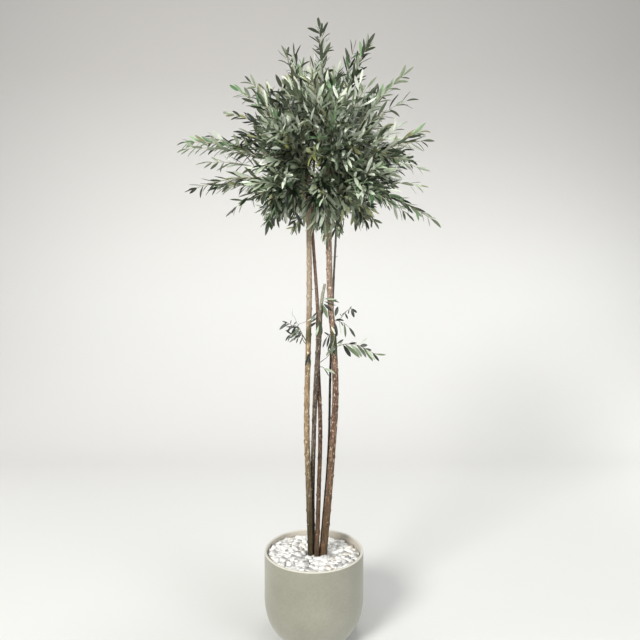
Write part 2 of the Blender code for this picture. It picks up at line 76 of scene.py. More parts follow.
def meshFromTriangles(name, points, triangles, materialIndex=None):  # joined small shapes, from arrays
    mesh = bpy.data.meshes.new(name)
    mesh.vertices.add(len(points))
    mesh.vertices.foreach_set("co", np.asarray(points, np.float32).ravel())
    mesh.loops.add(triangles.size)
    mesh.loops.foreach_set("vertex_index", triangles.astype(np.int32).ravel())
    mesh.polygons.add(len(triangles))
    mesh.polygons.foreach_set("loop_start", np.arange(0, triangles.size, 3, dtype=np.int32))
    if materialIndex is not None:
        mesh.polygons.foreach_set("material_index", materialIndex.astype(np.int32))
    mesh.update(calc_edges=True)
    return mesh


def stackShapes(shapes):  # many small shapes as one, from their points and triangles
    points, triangles, offset = [], [], 0
    for spots, faces in shapes:
        points.append(spots)
        triangles.append(faces + offset)
        offset += len(spots)
    return np.vstack(points), np.vstack(triangles)


def smoothMesh(mesh, sharpest):  # smooth, apart from edges sharper than that
    mesh.shade_smooth()
    mesh.set_sharp_from_angle(angle=math.radians(sharpest))


def direction(azimuth, elevation):
    turn, lift = math.radians(azimuth), math.radians(elevation)
    flat = math.cos(lift)
    return Vector((flat * math.cos(turn), flat * math.sin(turn), math.sin(lift)))


def shake(rng, size):
    return Vector((rng.gauss(0, 1), rng.gauss(0, 1), rng.gauss(0, 1))) * size


def newFinish(name, roughness):
    material = bpy.data.materials.new(name)
    material.use_nodes = True
    shader = material.node_tree.nodes["Principled BSDF"]
    shader.inputs["Roughness"].default_value = roughness
    return material, shader.inputs


def addNode(material, kind, **values):
    node = material.node_tree.nodes.new(kind)
    for key, value in values.items():
        if key in node.inputs:
            node.inputs[key].default_value = value
        else:
            setattr(node, key, value)
    return node


def join(material, value, socket):  # a link from another node, or a fixed value
    if isinstance(value, bpy.types.NodeSocket):
        material.node_tree.links.new(value, socket)
    else:
        socket.default_value = value


def ownPlace(material, scale=(1, 1, 1)):  # the piece's own coordinates, stretched
    mapping = addNode(material, "ShaderNodeMapping", Scale=scale)
    join(material, addNode(material, "ShaderNodeTexCoord").outputs["Object"], mapping.inputs["Vector"])
    return mapping.outputs["Vector"]


def mapRange(material, value, *limits):  # from low, from high, to low and to high
    made = addNode(material, "ShaderNodeMapRange")
    for key, limit in zip(("From Min", "From Max", "To Min", "To Max"), limits):
        made.inputs[key].default_value = limit
    join(material, value, made.inputs["Value"])
    return made.outputs["Result"]


def axisShare(material, axis, low, high):  # 0 at the low place on the axis, 1 at the high one
    split = addNode(material, "ShaderNodeSeparateXYZ")
    join(material, ownPlace(material), split.inputs["Vector"])
    return mapRange(material, split.outputs[axis], low, high)


def heightShare(material, low, high):
    return axisShare(material, "Z", low, high)


def cloudNoise(material, vector, scale, detail=4.0, rough=0.55):
    made = addNode(material, "ShaderNodeTexNoise", Scale=scale, Detail=detail, Roughness=rough)
    join(material, vector, made.inputs["Vector"])
    return made.outputs["Fac"]


def rampColour(material, fac, stops):
    made = addNode(material, "ShaderNodeValToRGB")
    elements = made.color_ramp.elements
    while len(elements) < len(stops):
        elements.new(0.5)
    for element, (at, colour) in zip(elements, stops):
        element.position = at
        element.color = colour
    join(material, fac, made.inputs["Fac"])
    return made.outputs["Color"]


def rampGrey(material, fac, stops):
    return rampColour(material, fac, [(at, (grey, grey, grey, 1)) for at, grey in stops])


def mixColour(material, fac, first, second, blend="MIX"):
    made = addNode(material, "ShaderNodeMix", data_type="RGBA", blend_type=blend)
    colours = [socket for socket in made.inputs if socket.type == "RGBA"]
    for value, socket in zip((fac, first, second), (made.inputs["Factor"], *colours)):
        join(material, value, socket)
    return [socket for socket in made.outputs if socket.type == "RGBA"][0]


def mathNode(material, operation, first, second):
    made = addNode(material, "ShaderNodeMath", operation=operation)
    join(material, first, made.inputs[0])
    join(material, second, made.inputs[1])
    return made.outputs["Value"]


def spreadValue(material, value, low, high):  # a noise's middle range, spread between two values
    return mapRange(material, value, 0.3, 0.7, low, high)


def bumpOn(material, height, depth, strength=1.0, under=None):
    made = addNode(material, "ShaderNodeBump", Strength=strength, Distance=depth)
    join(material, height, made.inputs["Height"])
    if under is not None:
        join(material, under, made.inputs["Normal"])
    return made.outputs["Normal"]


# Camera, light and floor

studio = {
    "eye": (0.0195, -1.66, 1.013),
    "focalPixels": 510.0,
    "framePixels": 640.0,
    "sensor": 36.0,
    # the near floor's colour; farther back the paper is painted lighter (painted light), and high on the wall
    # darker (painted shade)
    "floorColour": screenColour(206, 207, 205),
    "paintedFarLight": screenColour(222, 222, 220),
    "paintedHighShade": screenColour(206, 204, 201),
    "paintedLightRun": (0.1, 1.8),
    "shadeFrom": (1.2, 3.6),
    "floorRun": 3.6,
    "floorSide": 1.6,  # half the floor's breadth, as a share of its run
    "floorDrop": 0.0005,
    "wallHeight": 5.0,
    "cornerRadius": 1.7,
    "cornerSteps": 12,
    "roomLight": 0.29,
}
lamps = {  # place, aim, size, power and colour
    "keyLight": ((-2.4, -3.3, 3.2), (0, 0, 1.2), 1.7, 283, (1.0, 0.985, 0.96)),
    "lowLight": ((-0.8, -3.1, 0.8), (0, 0, 1.1), 1.4, 24, (1.0, 0.99, 0.98)),
    "fillLight": ((2.6, -2.2, 1.3), (0, 0, 0.5), 1.8, 60, (0.97, 0.985, 1.0)),
    "topLight": ((0.4, 0.5, 3.8), (0, 0, 1.4), 1.2, 42, (1.0, 0.99, 0.98)),
    "wallLightLeft": ((-3.2, 0.6, 0.5), (-0.6, 2.4, 0.0), 1.6, 10, (1.0, 1.0, 0.99)),
    "wallLightRight": ((3.4, 1.0, 0.6), (0.9, 2.5, 0.0), 1.6, 33, (1.0, 1.0, 0.99)),
}

camera = bpy.data.objects.new("camera", bpy.data.cameras.new("camera"))
bpy.context.scene.collection.objects.link(camera)
camera.location = studio["eye"]
camera.rotation_euler = (math.radians(90), 0, 0)
camera.data.sensor_width = studio["sensor"]
camera.data.lens = studio["focalPixels"] / studio["framePixels"] * studio["sensor"]
bpy.context.scene.camera = camera
bpy.context.scene.view_settings.view_transform = "Standard"


def makeStage():
    paper, sockets = newFinish("stagePaper", 0.85)
    # painted light farther back, painted shade high up on the wall
    paintedLightShare = axisShare(paper, "Y", *studio["paintedLightRun"])
    base = mixColour(paper, paintedLightShare, studio["floorColour"], studio["paintedFarLight"])
    shaded = heightShare(paper, *studio["shadeFrom"])
    join(paper, mixColour(paper, shaded, base, studio["paintedHighShade"]), sockets["Base Color"])
    run, radius, steps = studio["floorRun"], studio["cornerRadius"], studio["cornerSteps"]
    side = run * studio["floorSide"]
    bm = bmesh.new()
    corners = [Vector((0, -run, 0)), Vector((0, run - radius, 0))]
    for i in range(1, steps + 1):
        angle = math.pi / 2 * i / steps
        corners.append(Vector((0, run - radius + radius * math.sin(angle), radius * (1 - math.cos(angle)))))
    corners.append(Vector((0, run, studio["wallHeight"])))
    line = [bm.verts.new(corner + Vector((-side, 0, -studio["floorDrop"]))) for corner in corners]
    edges = [bm.edges.new(pair) for pair in zip(line, line[1:])]
    swept = bmesh.ops.extrude_edge_only(bm, edges=edges)["geom"]
    moved = [item for item in swept if isinstance(item, bmesh.types.BMVert)]
    bmesh.ops.translate(bm, verts=moved, vec=(side * 2, 0, 0))
    bmesh.ops.recalc_face_normals(bm, faces=bm.faces)
    mesh = meshFromBmesh("studioFloor", bm)
    mesh.shade_smooth()
    mesh.materials.append(paper)
    floor = bpy.data.objects.new("studioFloor", mesh)
    bpy.context.scene.collection.objects.link(floor)


def makeLight(name, place, aim, size, power, colour):
    light = bpy.data.lights.new(name, "AREA")
    light.shape = "DISK"
    light.size = size
    light.energy = power
    light.color = colour
    lamp = bpy.data.objects.new(name, light)
    lamp.location = place
    lamp.rotation_euler = (Vector(aim) - Vector(place)).to_track_quat("-Z", "Y").to_euler()
    lamp.visible_camera = False
    bpy.context.scene.collection.objects.link(lamp)


makeStage()
for lampName, lampValues in lamps.items():
    makeLight(lampName, *lampValues)
world = bpy.data.worlds.new("softRoom")
bpy.context.scene.world = world
world.use_nodes = True
world.node_tree.nodes["Background"].inputs["Color"].default_value = (1.0, 1.0, 1.0, 1.0)
world.node_tree.nodes["Background"].inputs["Strength"].default_value = studio["roomLight"]
print("studio ready")


# Pot

pot = {
    "radius": 0.160,
    "height": 0.270,
    "wall": 0.008,
    "footRadius": 0.080,
    "cornerHeight": 0.125,
    "insideFoot": 0.075,
    "insideFloor": 0.014,
    "insideRings": (0.02, 0.05),  # depths under the rim
    "steps": 144,
    "cornerSteps": 26,
    "insideSteps": 8,
    "lipSteps": 8,
    "ripple": 0.00035,
    "rippleScale": 9.0,
    "rippleFrom": 0.004,  # the foot stays flat
    "merge": 0.00002,
    "axisGap": 0.01,
    "sharpest": 50,
    "dust": 0.30,
    "dustRoughness": 0.5,
    "colours": (screenColour(119, 118, 104), screenColour(129, 128, 114), screenColour(138, 137, 124)),
    # painted highlight: a pale band along the top of the lip
    "paintedLipBand": 0.0036,
    "paintedLipHighlight": screenColour(190, 188, 176),
    # painted light: the inside of the wall is made paler than the outside
    "paintedInnerLight": screenColour(172, 166, 154),
    "innerFrom": 0.7,  # share of the wall, from outside
}


def clayMaterial():
    clay, sockets = newFinish("fibreClay", 0.72)
    place = ownPlace(clay)
    cloud = cloudNoise(clay, place, 5.5, 3.0)
    speck = cloudNoise(clay, place, 190.0, 3.0)
    grit = cloudNoise(clay, place, 700.0, 2.0)
    base = rampColour(clay, cloud, tuple(zip((0.28, 0.50, 0.74), pot["colours"])))
    flecks = rampGrey(clay, speck, ((0.36, 0.82), (0.50, 1.0), (0.68, 1.08)))
    base = mixColour(clay, 0.45, base, flecks, "MULTIPLY")
    # painted light on the inside of the wall, above the corner
    across = addNode(clay, "ShaderNodeVectorMath", operation="LENGTH")
    join(clay, ownPlace(clay, (1, 1, 0)), across.inputs[0])
    innerRadius = pot["radius"] - pot["wall"] * pot["innerFrom"]
    within = mathNode(clay, "LESS_THAN", across.outputs["Value"], innerRadius)
    inner = mixColour(clay, within, base, pot["paintedInnerLight"])
    base = mixColour(clay, heightShare(clay, pot["cornerHeight"], pot["height"] * 0.6), base, inner)
    # painted highlight along the top of the lip
    lipHighlight = heightShare(clay, pot["height"] - pot["paintedLipBand"], pot["height"] - pot["paintedLipBand"] / 2)
    join(clay, mixColour(clay, lipHighlight, base, pot["paintedLipHighlight"]), sockets["Base Color"])
    join(clay, spreadValue(clay, cloud, 0.62, 0.80), sockets["Roughness"])
    sockets["Sheen Weight"].default_value = pot["dust"]
    sockets["Sheen Roughness"].default_value = pot["dustRoughness"]
    fine = bumpOn(clay, grit, 0.0003, 0.35)
    join(clay, bumpOn(clay, speck, 0.0008, 0.25, fine), sockets["Normal"])
    return clay


def roundedCorner(radius, foot, low, high, count):  # quarter ellipse from the wall to the foot
    found = []
    for i in range(count + 1):
        angle = math.pi / 2 * i / count
        found.append((foot + (radius - foot) * math.cos(angle), high - (high - low) * math.sin(angle)))
    return found


def makePot():
    radius, height, lip = pot["radius"], pot["height"], pot["wall"] / 2
    profile = roundedCorner(radius, pot["footRadius"], 0.0, pot["cornerHeight"], pot["cornerSteps"])[::-1]
    straight = height - pot["cornerHeight"]
    profile += [(radius, height - lip - straight * share) for share in (0.75, 0.5, 0.25)]
    for i in range(pot["lipSteps"] + 1):
        angle = math.pi * i / pot["lipSteps"]
        profile.append((radius - lip + lip * math.cos(angle), height - lip + lip * math.sin(angle)))
    inner = radius - pot["wall"]
    profile += [(inner, height - depth) for depth in pot["insideRings"]]
    foot, floor = pot["insideFoot"], pot["insideFloor"]
    profile += roundedCorner(inner, foot, floor, pot["cornerHeight"], pot["insideSteps"])
    bm = bmesh.new()
    line = [bm.verts.new((0, 0, 0))]
    line += [bm.verts.new((across, 0, up)) for across, up in profile]
    line.append(bm.verts.new((0, 0, floor)))
    edges = [bm.edges.new(pair) for pair in zip(line, line[1:])]
    bmesh.ops.spin(
        bm, geom=[*line, *edges], cent=(0, 0, 0), axis=(0, 0, 1), angle=math.tau, steps=pot["steps"],
        use_merge=True,
    )
    bmesh.ops.remove_doubles(bm, verts=bm.verts, dist=pot["merge"])
    bmesh.ops.recalc_face_normals(bm, faces=bm.faces)
    for vert in bm.verts:  # a hand-finished wall is never quite true
        out = Vector((vert.co.x, vert.co.y, 0))
        if vert.co.z > pot["rippleFrom"] and out.length > pot["axisGap"]:
            vert.co += out.normalized() * noise.noise(vert.co * pot["rippleScale"]) * pot["ripple"]
    mesh = meshFromBmesh("potWall", bm)
    smoothMesh(mesh, pot["sharpest"])
    linkPiece("potWall", mesh, [clayMaterial()], ["pot"])


makePot()


# Potting mix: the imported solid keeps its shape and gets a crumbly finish

mixTones = ((0.35, (24, 19, 14)), (0.55, (52, 41, 31)), (0.75, (92, 78, 62)))


def soilMaterial():
    soil, sockets = newFinish("pottingMix", 0.95)
    place = ownPlace(soil)
    crumb = cloudNoise(soil, place, 260.0, 6.0)
    lump = cloudNoise(soil, place, 60.0, 3.0)
    tones = [(at, screenColour(*tone)) for at, tone in mixTones]
    join(soil, rampColour(soil, crumb, tones), sockets["Base Color"])
    rough = bumpOn(soil, lump, 0.003, 0.6)
    join(soil, bumpOn(soil, crumb, 0.001, 0.8, rough), sockets["Normal"])
    return soil


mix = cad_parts["potting_fill"]
mix.data.materials.clear()
mix.data.materials.append(soilMaterial())
print("pot and mix ready")


# Stems

stemRings = {  # height, x, y, radius
    "stem_left": [
        (0.2323, -0.0095, 0.000, 0.0098), (0.500, -0.0182, -0.001, 0.0094), (0.700, -0.0236, -0.002, 0.0090),
        (1.080, -0.0154, 0.000, 0.0087), (1.360, -0.0172, 0.000, 0.0080), (1.572, -0.0165, -0.005, 0.0046),
    ],
    "stem_middle": [
        (0.2323, -0.0040, 0.019, 0.0080), (0.460, -0.0050, 0.013, 0.0074), (0.750, 0.0033, -0.004, 0.0076),
        (0.920, 0.0140, -0.008, 0.0084), (1.045, 0.0190, -0.008, 0.0092),
    ],
    "stem_middle_thin": [
        (0.2323, 0.0080, -0.012, 0.0078), (0.460, 0.0155, -0.008, 0.0070), (0.660, 0.0205, 0.000, 0.0068),
        (0.880, 0.0130, 0.011, 0.0062), (1.060, 0.0108, 0.016, 0.0056), (1.270, -0.0030, 0.019, 0.0050),
        (1.360, -0.0070, 0.021, 0.0048), (1.581, 0.0010, 0.070, 0.0034),
    ],
    "stem_right": [
        (0.2323, 0.0280, 0.002, 0.0120), (0.460, 0.0490, -0.002, 0.0110), (0.750, 0.0690, -0.004, 0.0101),
        (0.950, 0.0635, -0.004, 0.0099), (1.080, 0.0525, -0.004, 0.0095), (1.360, 0.0455, -0.004, 0.0090),
        (1.600, 0.0340, -0.002, 0.0050),
    ],
    "stem_right_thin": [
        (0.2323, 0.0200, 0.024, 0.0048), (0.395, 0.0335, 0.019, 0.0043), (0.525, 0.0440, 0.018, 0.0041),
        (0.655, 0.0500, 0.017, 0.0040), (0.820, 0.0528, 0.016, 0.0039), (1.080, 0.0617, 0.018, 0.0037),
        (1.240, 0.0694, 0.020, 0.0036), (1.360, 0.0765, 0.026, 0.0036), (1.572, 0.0920, 0.055, 0.0028),
    ],
}
stubShape = {"end": Vector((0.0350, -0.011, 1.130)), "radii": (0.0058, 0.0046), "offset": 0.0028,
             "sunk": 0.004, "straight": 0.034, "steps": 20, "sides": 18}

bark = {
    "step": 0.0040,
    "sides": 28,
    "nodeGap": (0.035, 0.085),
    "nodeHeight": 0.0042,
    "nodeSwell": 0.12,
    "nodeLean": 0.8,  # a scar stands out more on the side it faces
    "waves": 0.055,
    "waveScale": 26.0,
    "ridges": 0.05,
    "ridgeScale": (2.2, 9.0),  # round the limb and along it
    "collarFade": 0.8,
    "sawnSwell": 0.14,
    "sawnRings": 5,
    "edge": 0.12,
    "sharpest": 55,
    "seed": 4,
    "foot": (0.66, 0.36),  # heights between which the tone near the foot comes in
    "footShare": 0.95,
    "footTones": ((0.58, 0.55, 0.55), (1.0, 1.0, 1.0), (1.75, 1.50, 1.40)),
    # heights over which the stems turn to their upper tone, partly their own and partly painted light
    "high": (0.98, 1.06),
    "upperToneAndLightShare": 0.65,
    # painted shadow of the shoots on three stems, olive-tinted, between these heights
    "moss": {"barkTan": (0.926, 0.998), "barkGrey": (0.956, 1.014), "barkBrown": (0.898, 0.986)},
    "paintedShadowEdge": 0.02,
    "paintedShadowColour": screenColour(68, 64, 40),
}

# dark, main and light bark, pale flecks, the tone near the foot and the tone above the shoots; the upper
# tone is partly the bark's own and partly painted light that makes up for the crown's shadow
barkColours = {
    "barkTan": (
        (86, 70, 48), (136, 115, 87), (165, 145, 116), (200, 187, 163), (50, 44, 28), (142, 130, 116),
    ),
    "barkGrey": ((42, 35, 29), (75, 65, 55), (102, 90, 78), (146, 136, 120), (56, 47, 36), (116, 103, 90)),
    "barkRed": ((38, 24, 18), (66, 44, 33), (92, 69, 54), (156, 136, 116), (74, 58, 43), (124, 101, 85)),
    "barkBrown": (
        (56, 37, 27), (100, 76, 59), (134, 109, 91), (200, 184, 164), (78, 62, 44), (132, 115, 101),
    ),
    "barkDark": ((16, 13, 11), (31, 25, 21), (50, 43, 37), (80, 71, 62), (32, 26, 21), (128, 125, 117)),
    "barkShoot": (
        (92, 89, 72), (124, 122, 105), (147, 145, 130), (172, 170, 155), (112, 109, 90), (129, 128, 113),
    ),
}


def barkMaterial(name):
    dark, main, light, fleck, foot, high = [screenColour(*colour) for colour in barkColours[name]]
    made, sockets = newFinish(name, 0.75)
    sockets["Specular IOR Level"].default_value = 0.22
    streak = cloudNoise(made, ownPlace(made, (1, 1, 0.16)), 190.0, 6.0, 0.62)
    speckled = ownPlace(made, (1, 1, 0.5))
    pale = cloudNoise(made, speckled, 230.0, 3.0, 0.5)
    pits = cloudNoise(made, ownPlace(made, (1.3, 1.3, 0.4)), 260.0, 3.0, 0.5)
    patch = cloudNoise(made, ownPlace(made, (1, 1, 0.35)), 20.0, 4.0)
    fine = cloudNoise(made, speckled, 620.0, 4.0)
    base = rampColour(made, streak, ((0.34, dark), (0.50, main), (0.64, light)))
    base = mixColour(made, rampGrey(made, patch, ((0.42, 0.0), (0.66, 0.45))), base, dark)
    # partly real tone, partly painted light: the stems are lighter above the shoots
    upperToneAndLight = mathNode(made, "MULTIPLY", heightShare(made, *bark["high"]), bark["upperToneAndLightShare"])
    base = mixColour(made, upperToneAndLight, base, high)
    base = mixColour(made, rampGrey(made, pits, ((0.34, 0.75), (0.43, 0.0))), base, dark)
    flecks = rampGrey(made, pale, ((0.57, 0.0), (0.66, 0.85)))
    base = mixColour(made, flecks, base, fleck)
    # painted olive shadow in a band under the shoots
    if name in bark["moss"]:
        shootShadowShare = rampGrey(made, patch, ((0.33, 0.68), (0.50, 0.98)))
        (low, high), edge = bark["moss"][name], bark["paintedShadowEdge"]
        for limits in ((low, low + edge), (high, high - edge)):
            shootShadowShare = mathNode(made, "MULTIPLY", shootShadowShare, heightShare(made, *limits))
        base = mixColour(made, shootShadowShare, base, bark["paintedShadowColour"])
    tones = [(*[value * scale for value, scale in zip(foot, scales)], 1.0) for scales in bark["footTones"]]
    footBark = rampColour(made, streak, tuple(zip((0.36, 0.50, 0.64), tones)))
    shaded = mixColour(made, bark["footShare"], base, footBark)
    join(made, mixColour(made, heightShare(made, *bark["foot"]), base, shaded), sockets["Base Color"])
    join(made, spreadValue(made, streak, 0.60, 0.86), sockets["Roughness"])
    grain = bumpOn(made, streak, 0.0012, 0.8)
    pores = bumpOn(made, flecks, 0.0005, 0.5, grain)
    join(made, bumpOn(made, fine, 0.0003, 0.6, pores), sockets["Normal"])
    return made


barks = {name: barkMaterial(name) for name in barkColours}


def splineValue(before, start, end, after, t):  # a smooth curve's value between its second and third points
    found = []
    for a, b, c, d in zip(before, start, end, after):
        cubic = (3 * b - a - 3 * c + d) * t**3
        square = (2 * a - 5 * b + 4 * c - d) * t**2
        found.append(0.5 * (2 * b + (c - a) * t + square + cubic))
    return found


def stemLine(rings):
    points, radii = [], []
    for i in range(len(rings) - 1):
        before, after = rings[max(i - 1, 0)], rings[min(i + 2, len(rings) - 1)]
        count = max(1, round((rings[i + 1][0] - rings[i][0]) / bark["step"]))
        for k in range(count):
            z, x, y, radius = splineValue(before, rings[i], rings[i + 1], after, k / count)
            points.append(Vector((x, y, z)))
            radii.append(radius)
    z, x, y, radius = rings[-1]
    return {"points": [*points, Vector((x, y, z))], "radii": [*radii, radius]}


def bendLine(start, middle, end, count):
    shares = [i / count for i in range(count + 1)]
    return [start * (1 - t) ** 2 + middle * 2 * t * (1 - t) + end * t**2 for t in shares]


def taper(start, end, count):
    return [start + (end - start) * i / (count - 1) for i in range(count)]


def pointAtHeight(limb, height):
    nearest = min(range(len(limb["points"])), key=lambda i: abs(limb["points"][i].z - height))
    return limb["points"][nearest], limb["radii"][nearest]


def barkSwell(point, spoke, scars, seed):  # how much a limb stands out there, as a share of its radius
    swell = bark["waves"] * noise.noise(point * bark["waveScale"] + Vector((seed, 0, 0)))
    around, along = bark["ridgeScale"]
    ridge = Vector((spoke.x * around, spoke.y * around, point.z * along + seed))
    swell += bark["ridges"] * noise.noise(ridge)
    for height, facing in scars:
        near = abs(point.z - height) / bark["nodeHeight"]
        if near < 3:
            swell += bark["nodeSwell"] * math.exp(-(near**2)) * (1 + bark["nodeLean"] * spoke.dot(facing))
    return swell


def cutRod(bm, sides, cuts):  # a rod of unit size with rings between its ends
    bmesh.ops.create_cone(bm, cap_ends=True, segments=sides, radius1=1, radius2=1, depth=1)
    upright = [edge for edge in bm.edges if abs(edge.verts[0].co.z - edge.verts[1].co.z) > 0.5]
    bmesh.ops.subdivide_edges(bm, edges=upright, cuts=cuts)


def makeLimb(name, limb, material, nodes, sides, collar=0.0, knob=0.0):  # a rod laid along its line
    rng = random.Random(bark["seed"] + len(name))
    points, radii = limb["points"], limb["radii"]
    last = len(points) - 1
    bm = bmesh.new()
    cutRod(bm, sides, last - 1)
    scars, height = [], points[0].z + rng.uniform(*bark["nodeGap"])
    while height < points[-1].z:
        scars.append((height, direction(rng.uniform(0, 360), 0)))
        height += rng.uniform(*bark["nodeGap"])
    frames = []
    for i in range(len(points)):
        heading = (points[min(i + 1, last)] - points[max(i - 1, 0)]).normalized()
        frames.append(Vector((0, 0, 1)).rotation_difference(heading).to_matrix())
    seed = rng.uniform(0, 50)
    for vert in bm.verts:
        i = round((vert.co.z + 0.5) * last)
        spoke = frames[i] @ Vector((vert.co.x, vert.co.y, 0))
        swell = barkSwell(points[i], spoke, scars, seed) + collar * math.exp(-i * bark["collarFade"])
        swell += knob * math.exp(-(((last - i) / bark["sawnRings"]) ** 2))
        vert.co = points[i] + spoke * radii[i] * (1 + swell)
    ends = [face for face in bm.faces if len(face.verts) > 4]
    rims = list({edge for face in ends for edge in face.edges})
    bmesh.ops.bevel(
        bm, geom=rims, offset=min(radii[-1], radii[0]) * bark["edge"], offset_type="OFFSET", affect="EDGES",
        segments=2, profile=0.5, material=-1,
    )
    mesh = meshFromBmesh(name, bm)
    smoothMesh(mesh, bark["sharpest"])
    linkPiece(name, mesh, [material], nodes)


stems = {name: stemLine(rings) for name, rings in stemRings.items()}
stemBarks = {
    "stem_left": ("barkTan", "bark_tan"),
    "stem_middle": ("barkGrey", "bark_brown"),
    "stem_middle_thin": ("barkRed", "bark_brown"),
    "stem_right": ("barkBrown", "bark_brown"),
    "stem_right_thin": ("barkDark", "bark_brown"),
}


def camel(name):
    first, *rest = name.split("_")
    return first + "".join(word.title() for word in rest)


def makeStems():
    for name, limb in stems.items():
        finish, slot = stemBarks[name]
        knob = bark["sawnSwell"] if name == "stem_middle" else 0.0
        makeLimb(camel(name), limb, barks[finish], [name], bark["sides"], knob=knob)
    top = stems["stem_middle"]["points"]
    heading = (top[-1] - top[-2]).normalized()
    side = Vector((0, 1, 0)).cross(heading).normalized()
    foot = top[-1] - heading * stubShape["sunk"] + side * stubShape["offset"]
    points = bendLine(foot, foot + heading * stubShape["straight"], stubShape["end"], stubShape["steps"])
    sawn = {"points": points, "radii": taper(*stubShape["radii"], len(points))}
    makeLimb("stemStub", sawn, barks["barkShoot"], ["stem_stub"], stubShape["sides"])
    return sawn


stub = makeStems()
print("stems ready")


# Chips on the mix

chips = {
    "radius": 0.1512,
    "layers": ((0.2380, 0.0130), (0.2413, 0.0143), (0.2446, 0.0166), (0.2480, 0.0196)),  # height and spacing
    "layerTurn": 1.3,
    "jitter": 0.0030,
    "lumps": 0.0030,
    "lumpScale": 16.0,
    "loose": 0.002,
    "slope": (-0.045, -0.020),
    "size": (0.0078, 0.0120),
    "breadth": (0.72, 1.0),
    "thickness": (0.55, 0.85),
    "shapes": 16,
    "shake": 0.18,
    "flatter": 12,  # faces that turn by less are one
    "edge": 0.12,
    "tilt": 0.20,
    "stemHeight": 0.25,
    "stemGap": 0.0005,
    "stemShare": 0.75,  # of a chip's size that keeps off the stems
    "glow": 0.35,  # marble lets light through
    "glowDepth": 0.006,
    "seed": 21,
    "colours": ((245, 245, 240), (241, 240, 235), (241, 235, 224)),
    "shadow": 0.95,
    "shares": (6, 3, 1),
}


def chipMaterial(name, colour):
    stone, sockets = newFinish(name, 0.55)
    place = ownPlace(stone)
    cloud = cloudNoise(stone, place, 75.0, 4.0)
    vein = cloudNoise(stone, place, 210.0, 5.0, 0.7)
    base = screenColour(*colour)
    shade = screenColour(*[value * chips["shadow"] for value in colour])
    join(stone, rampColour(stone, cloud, ((0.36, shade), (0.54, base))), sockets["Base Color"])
    join(stone, bumpOn(stone, vein, 0.0008, 0.25), sockets["Normal"])
    sockets["Subsurface Weight"].default_value = chips["glow"]
    sockets["Subsurface Radius"].default_value = (1.0, 1.0, 0.95)
    sockets["Subsurface Scale"].default_value = chips["glowDepth"]
    return stone


def chipShapes(rng):  # broken lumps: shaken boxes with their edges worn off
    shapes = []
    for _ in range(chips["shapes"]):
        bm = bmesh.new()
        bmesh.ops.create_cube(bm, size=2.0)
        squash = Vector((1.0, rng.uniform(*chips["breadth"]), rng.uniform(*chips["thickness"])))
        for vert in bm.verts:
            vert.co = (vert.co + shake(rng, chips["shake"])) * squash
        bmesh.ops.triangulate(bm, faces=bm.faces)
        hull = bmesh.ops.convex_hull(bm, input=bm.verts)
        unused = hull["geom_interior"] + hull["geom_unused"]
        corners = {item for item in unused if isinstance(item, bmesh.types.BMVert)}
        bmesh.ops.delete(bm, geom=list(corners), context="VERTS")
        flatter = math.radians(chips["flatter"])
        bmesh.ops.dissolve_limit(bm, angle_limit=flatter, verts=bm.verts, edges=bm.edges)
        bmesh.ops.bevel(
            bm, geom=bm.edges, offset=chips["edge"], offset_type="OFFSET", affect="EDGES", segments=1,
            profile=0.5, material=-1,
        )
        bmesh.ops.triangulate(bm, faces=bm.faces)
        bmesh.ops.recalc_face_normals(bm, faces=bm.faces)
        shapes.append(arraysFromBmesh(bm))
    return shapes


def makeChips():
    rng = random.Random(chips["seed"])
    shapes = chipShapes(rng)
    feet = [pointAtHeight(limb, chips["stemHeight"]) for limb in stems.values()]
    laid, shadeOf = [], []
    for layer, (height, spacing) in enumerate(chips["layers"]):
        count = round(math.pi * chips["radius"] ** 2 / spacing**2)
        for i in range(count):  # a sunflower's even spread, then shaken
            reach = chips["radius"] * math.sqrt((i + 0.5) / count)
            turn = i * goldenAngle + layer * chips["layerTurn"]
            x = reach * math.cos(turn) + rng.gauss(0, chips["jitter"])
            y = reach * math.sin(turn) + rng.gauss(0, chips["jitter"])
            size = rng.uniform(*chips["size"])
            gap = size * chips["stemShare"] + chips["stemGap"]
            if any(math.hypot(x - foot.x, y - foot.y) < radius + gap for foot, radius in feet):
                continue
            lift = chips["lumps"] * noise.noise(Vector((x, y, 0)) * chips["lumpScale"])
            lift += rng.uniform(-chips["loose"], chips["loose"])
            lift += x * chips["slope"][0] + y * chips["slope"][1]
            shape, faces = shapes[rng.randrange(len(shapes))]
            tipped = [Matrix.Rotation(rng.uniform(-chips["tilt"], chips["tilt"]), 3, axis) for axis in "XY"]
            turned = np.array(tipped[0] @ tipped[1] @ Matrix.Rotation(rng.uniform(0, math.tau), 3, "Z"))
            spot = shape * size @ turned.T + np.array((x, y, height + lift))
            across = np.hypot(spot[:, 0], spot[:, 1]).max()
            if across > chips["radius"]:
                spot[:, :2] -= np.array((x, y)) / math.hypot(x, y) * (across - chips["radius"])
            laid.append((spot, faces))
            shadeOf.append(np.full(len(faces), rng.choices((0, 1, 2), chips["shares"])[0]))
    finishes = [chipMaterial(f"marble{i}", colour) for i, colour in enumerate(chips["colours"])]
    mesh = meshFromTriangles("marbleChips", *stackShapes(laid), np.concatenate(shadeOf))
    linkPiece("marbleChips", mesh, finishes, ["pebble_bed"])
    print("chips ready:", len(laid), "with", len(mesh.polygons), "triangles")


makeChips()


# Boughs: one to each mass that does not sit on its stem's own tip

head = {
    "focus": Vector((0.026, 0.0, 1.462)),
    "boughReach": 0.092,
    "topBoughReach": 0.140,
    "steep": 60,
    "boughShare": 0.55,
    "boughRise": 0.35,
    "boughTip": 0.0026,
    "boughSteps": 14,
    "boughSides": 12,
    "boughCollar": 0.35,
    "blend": 14.0,
    "under": (-0.40, 0.45),  # how far down it starts to be shallow, and over how much more
    "underCut": 0.36,
}
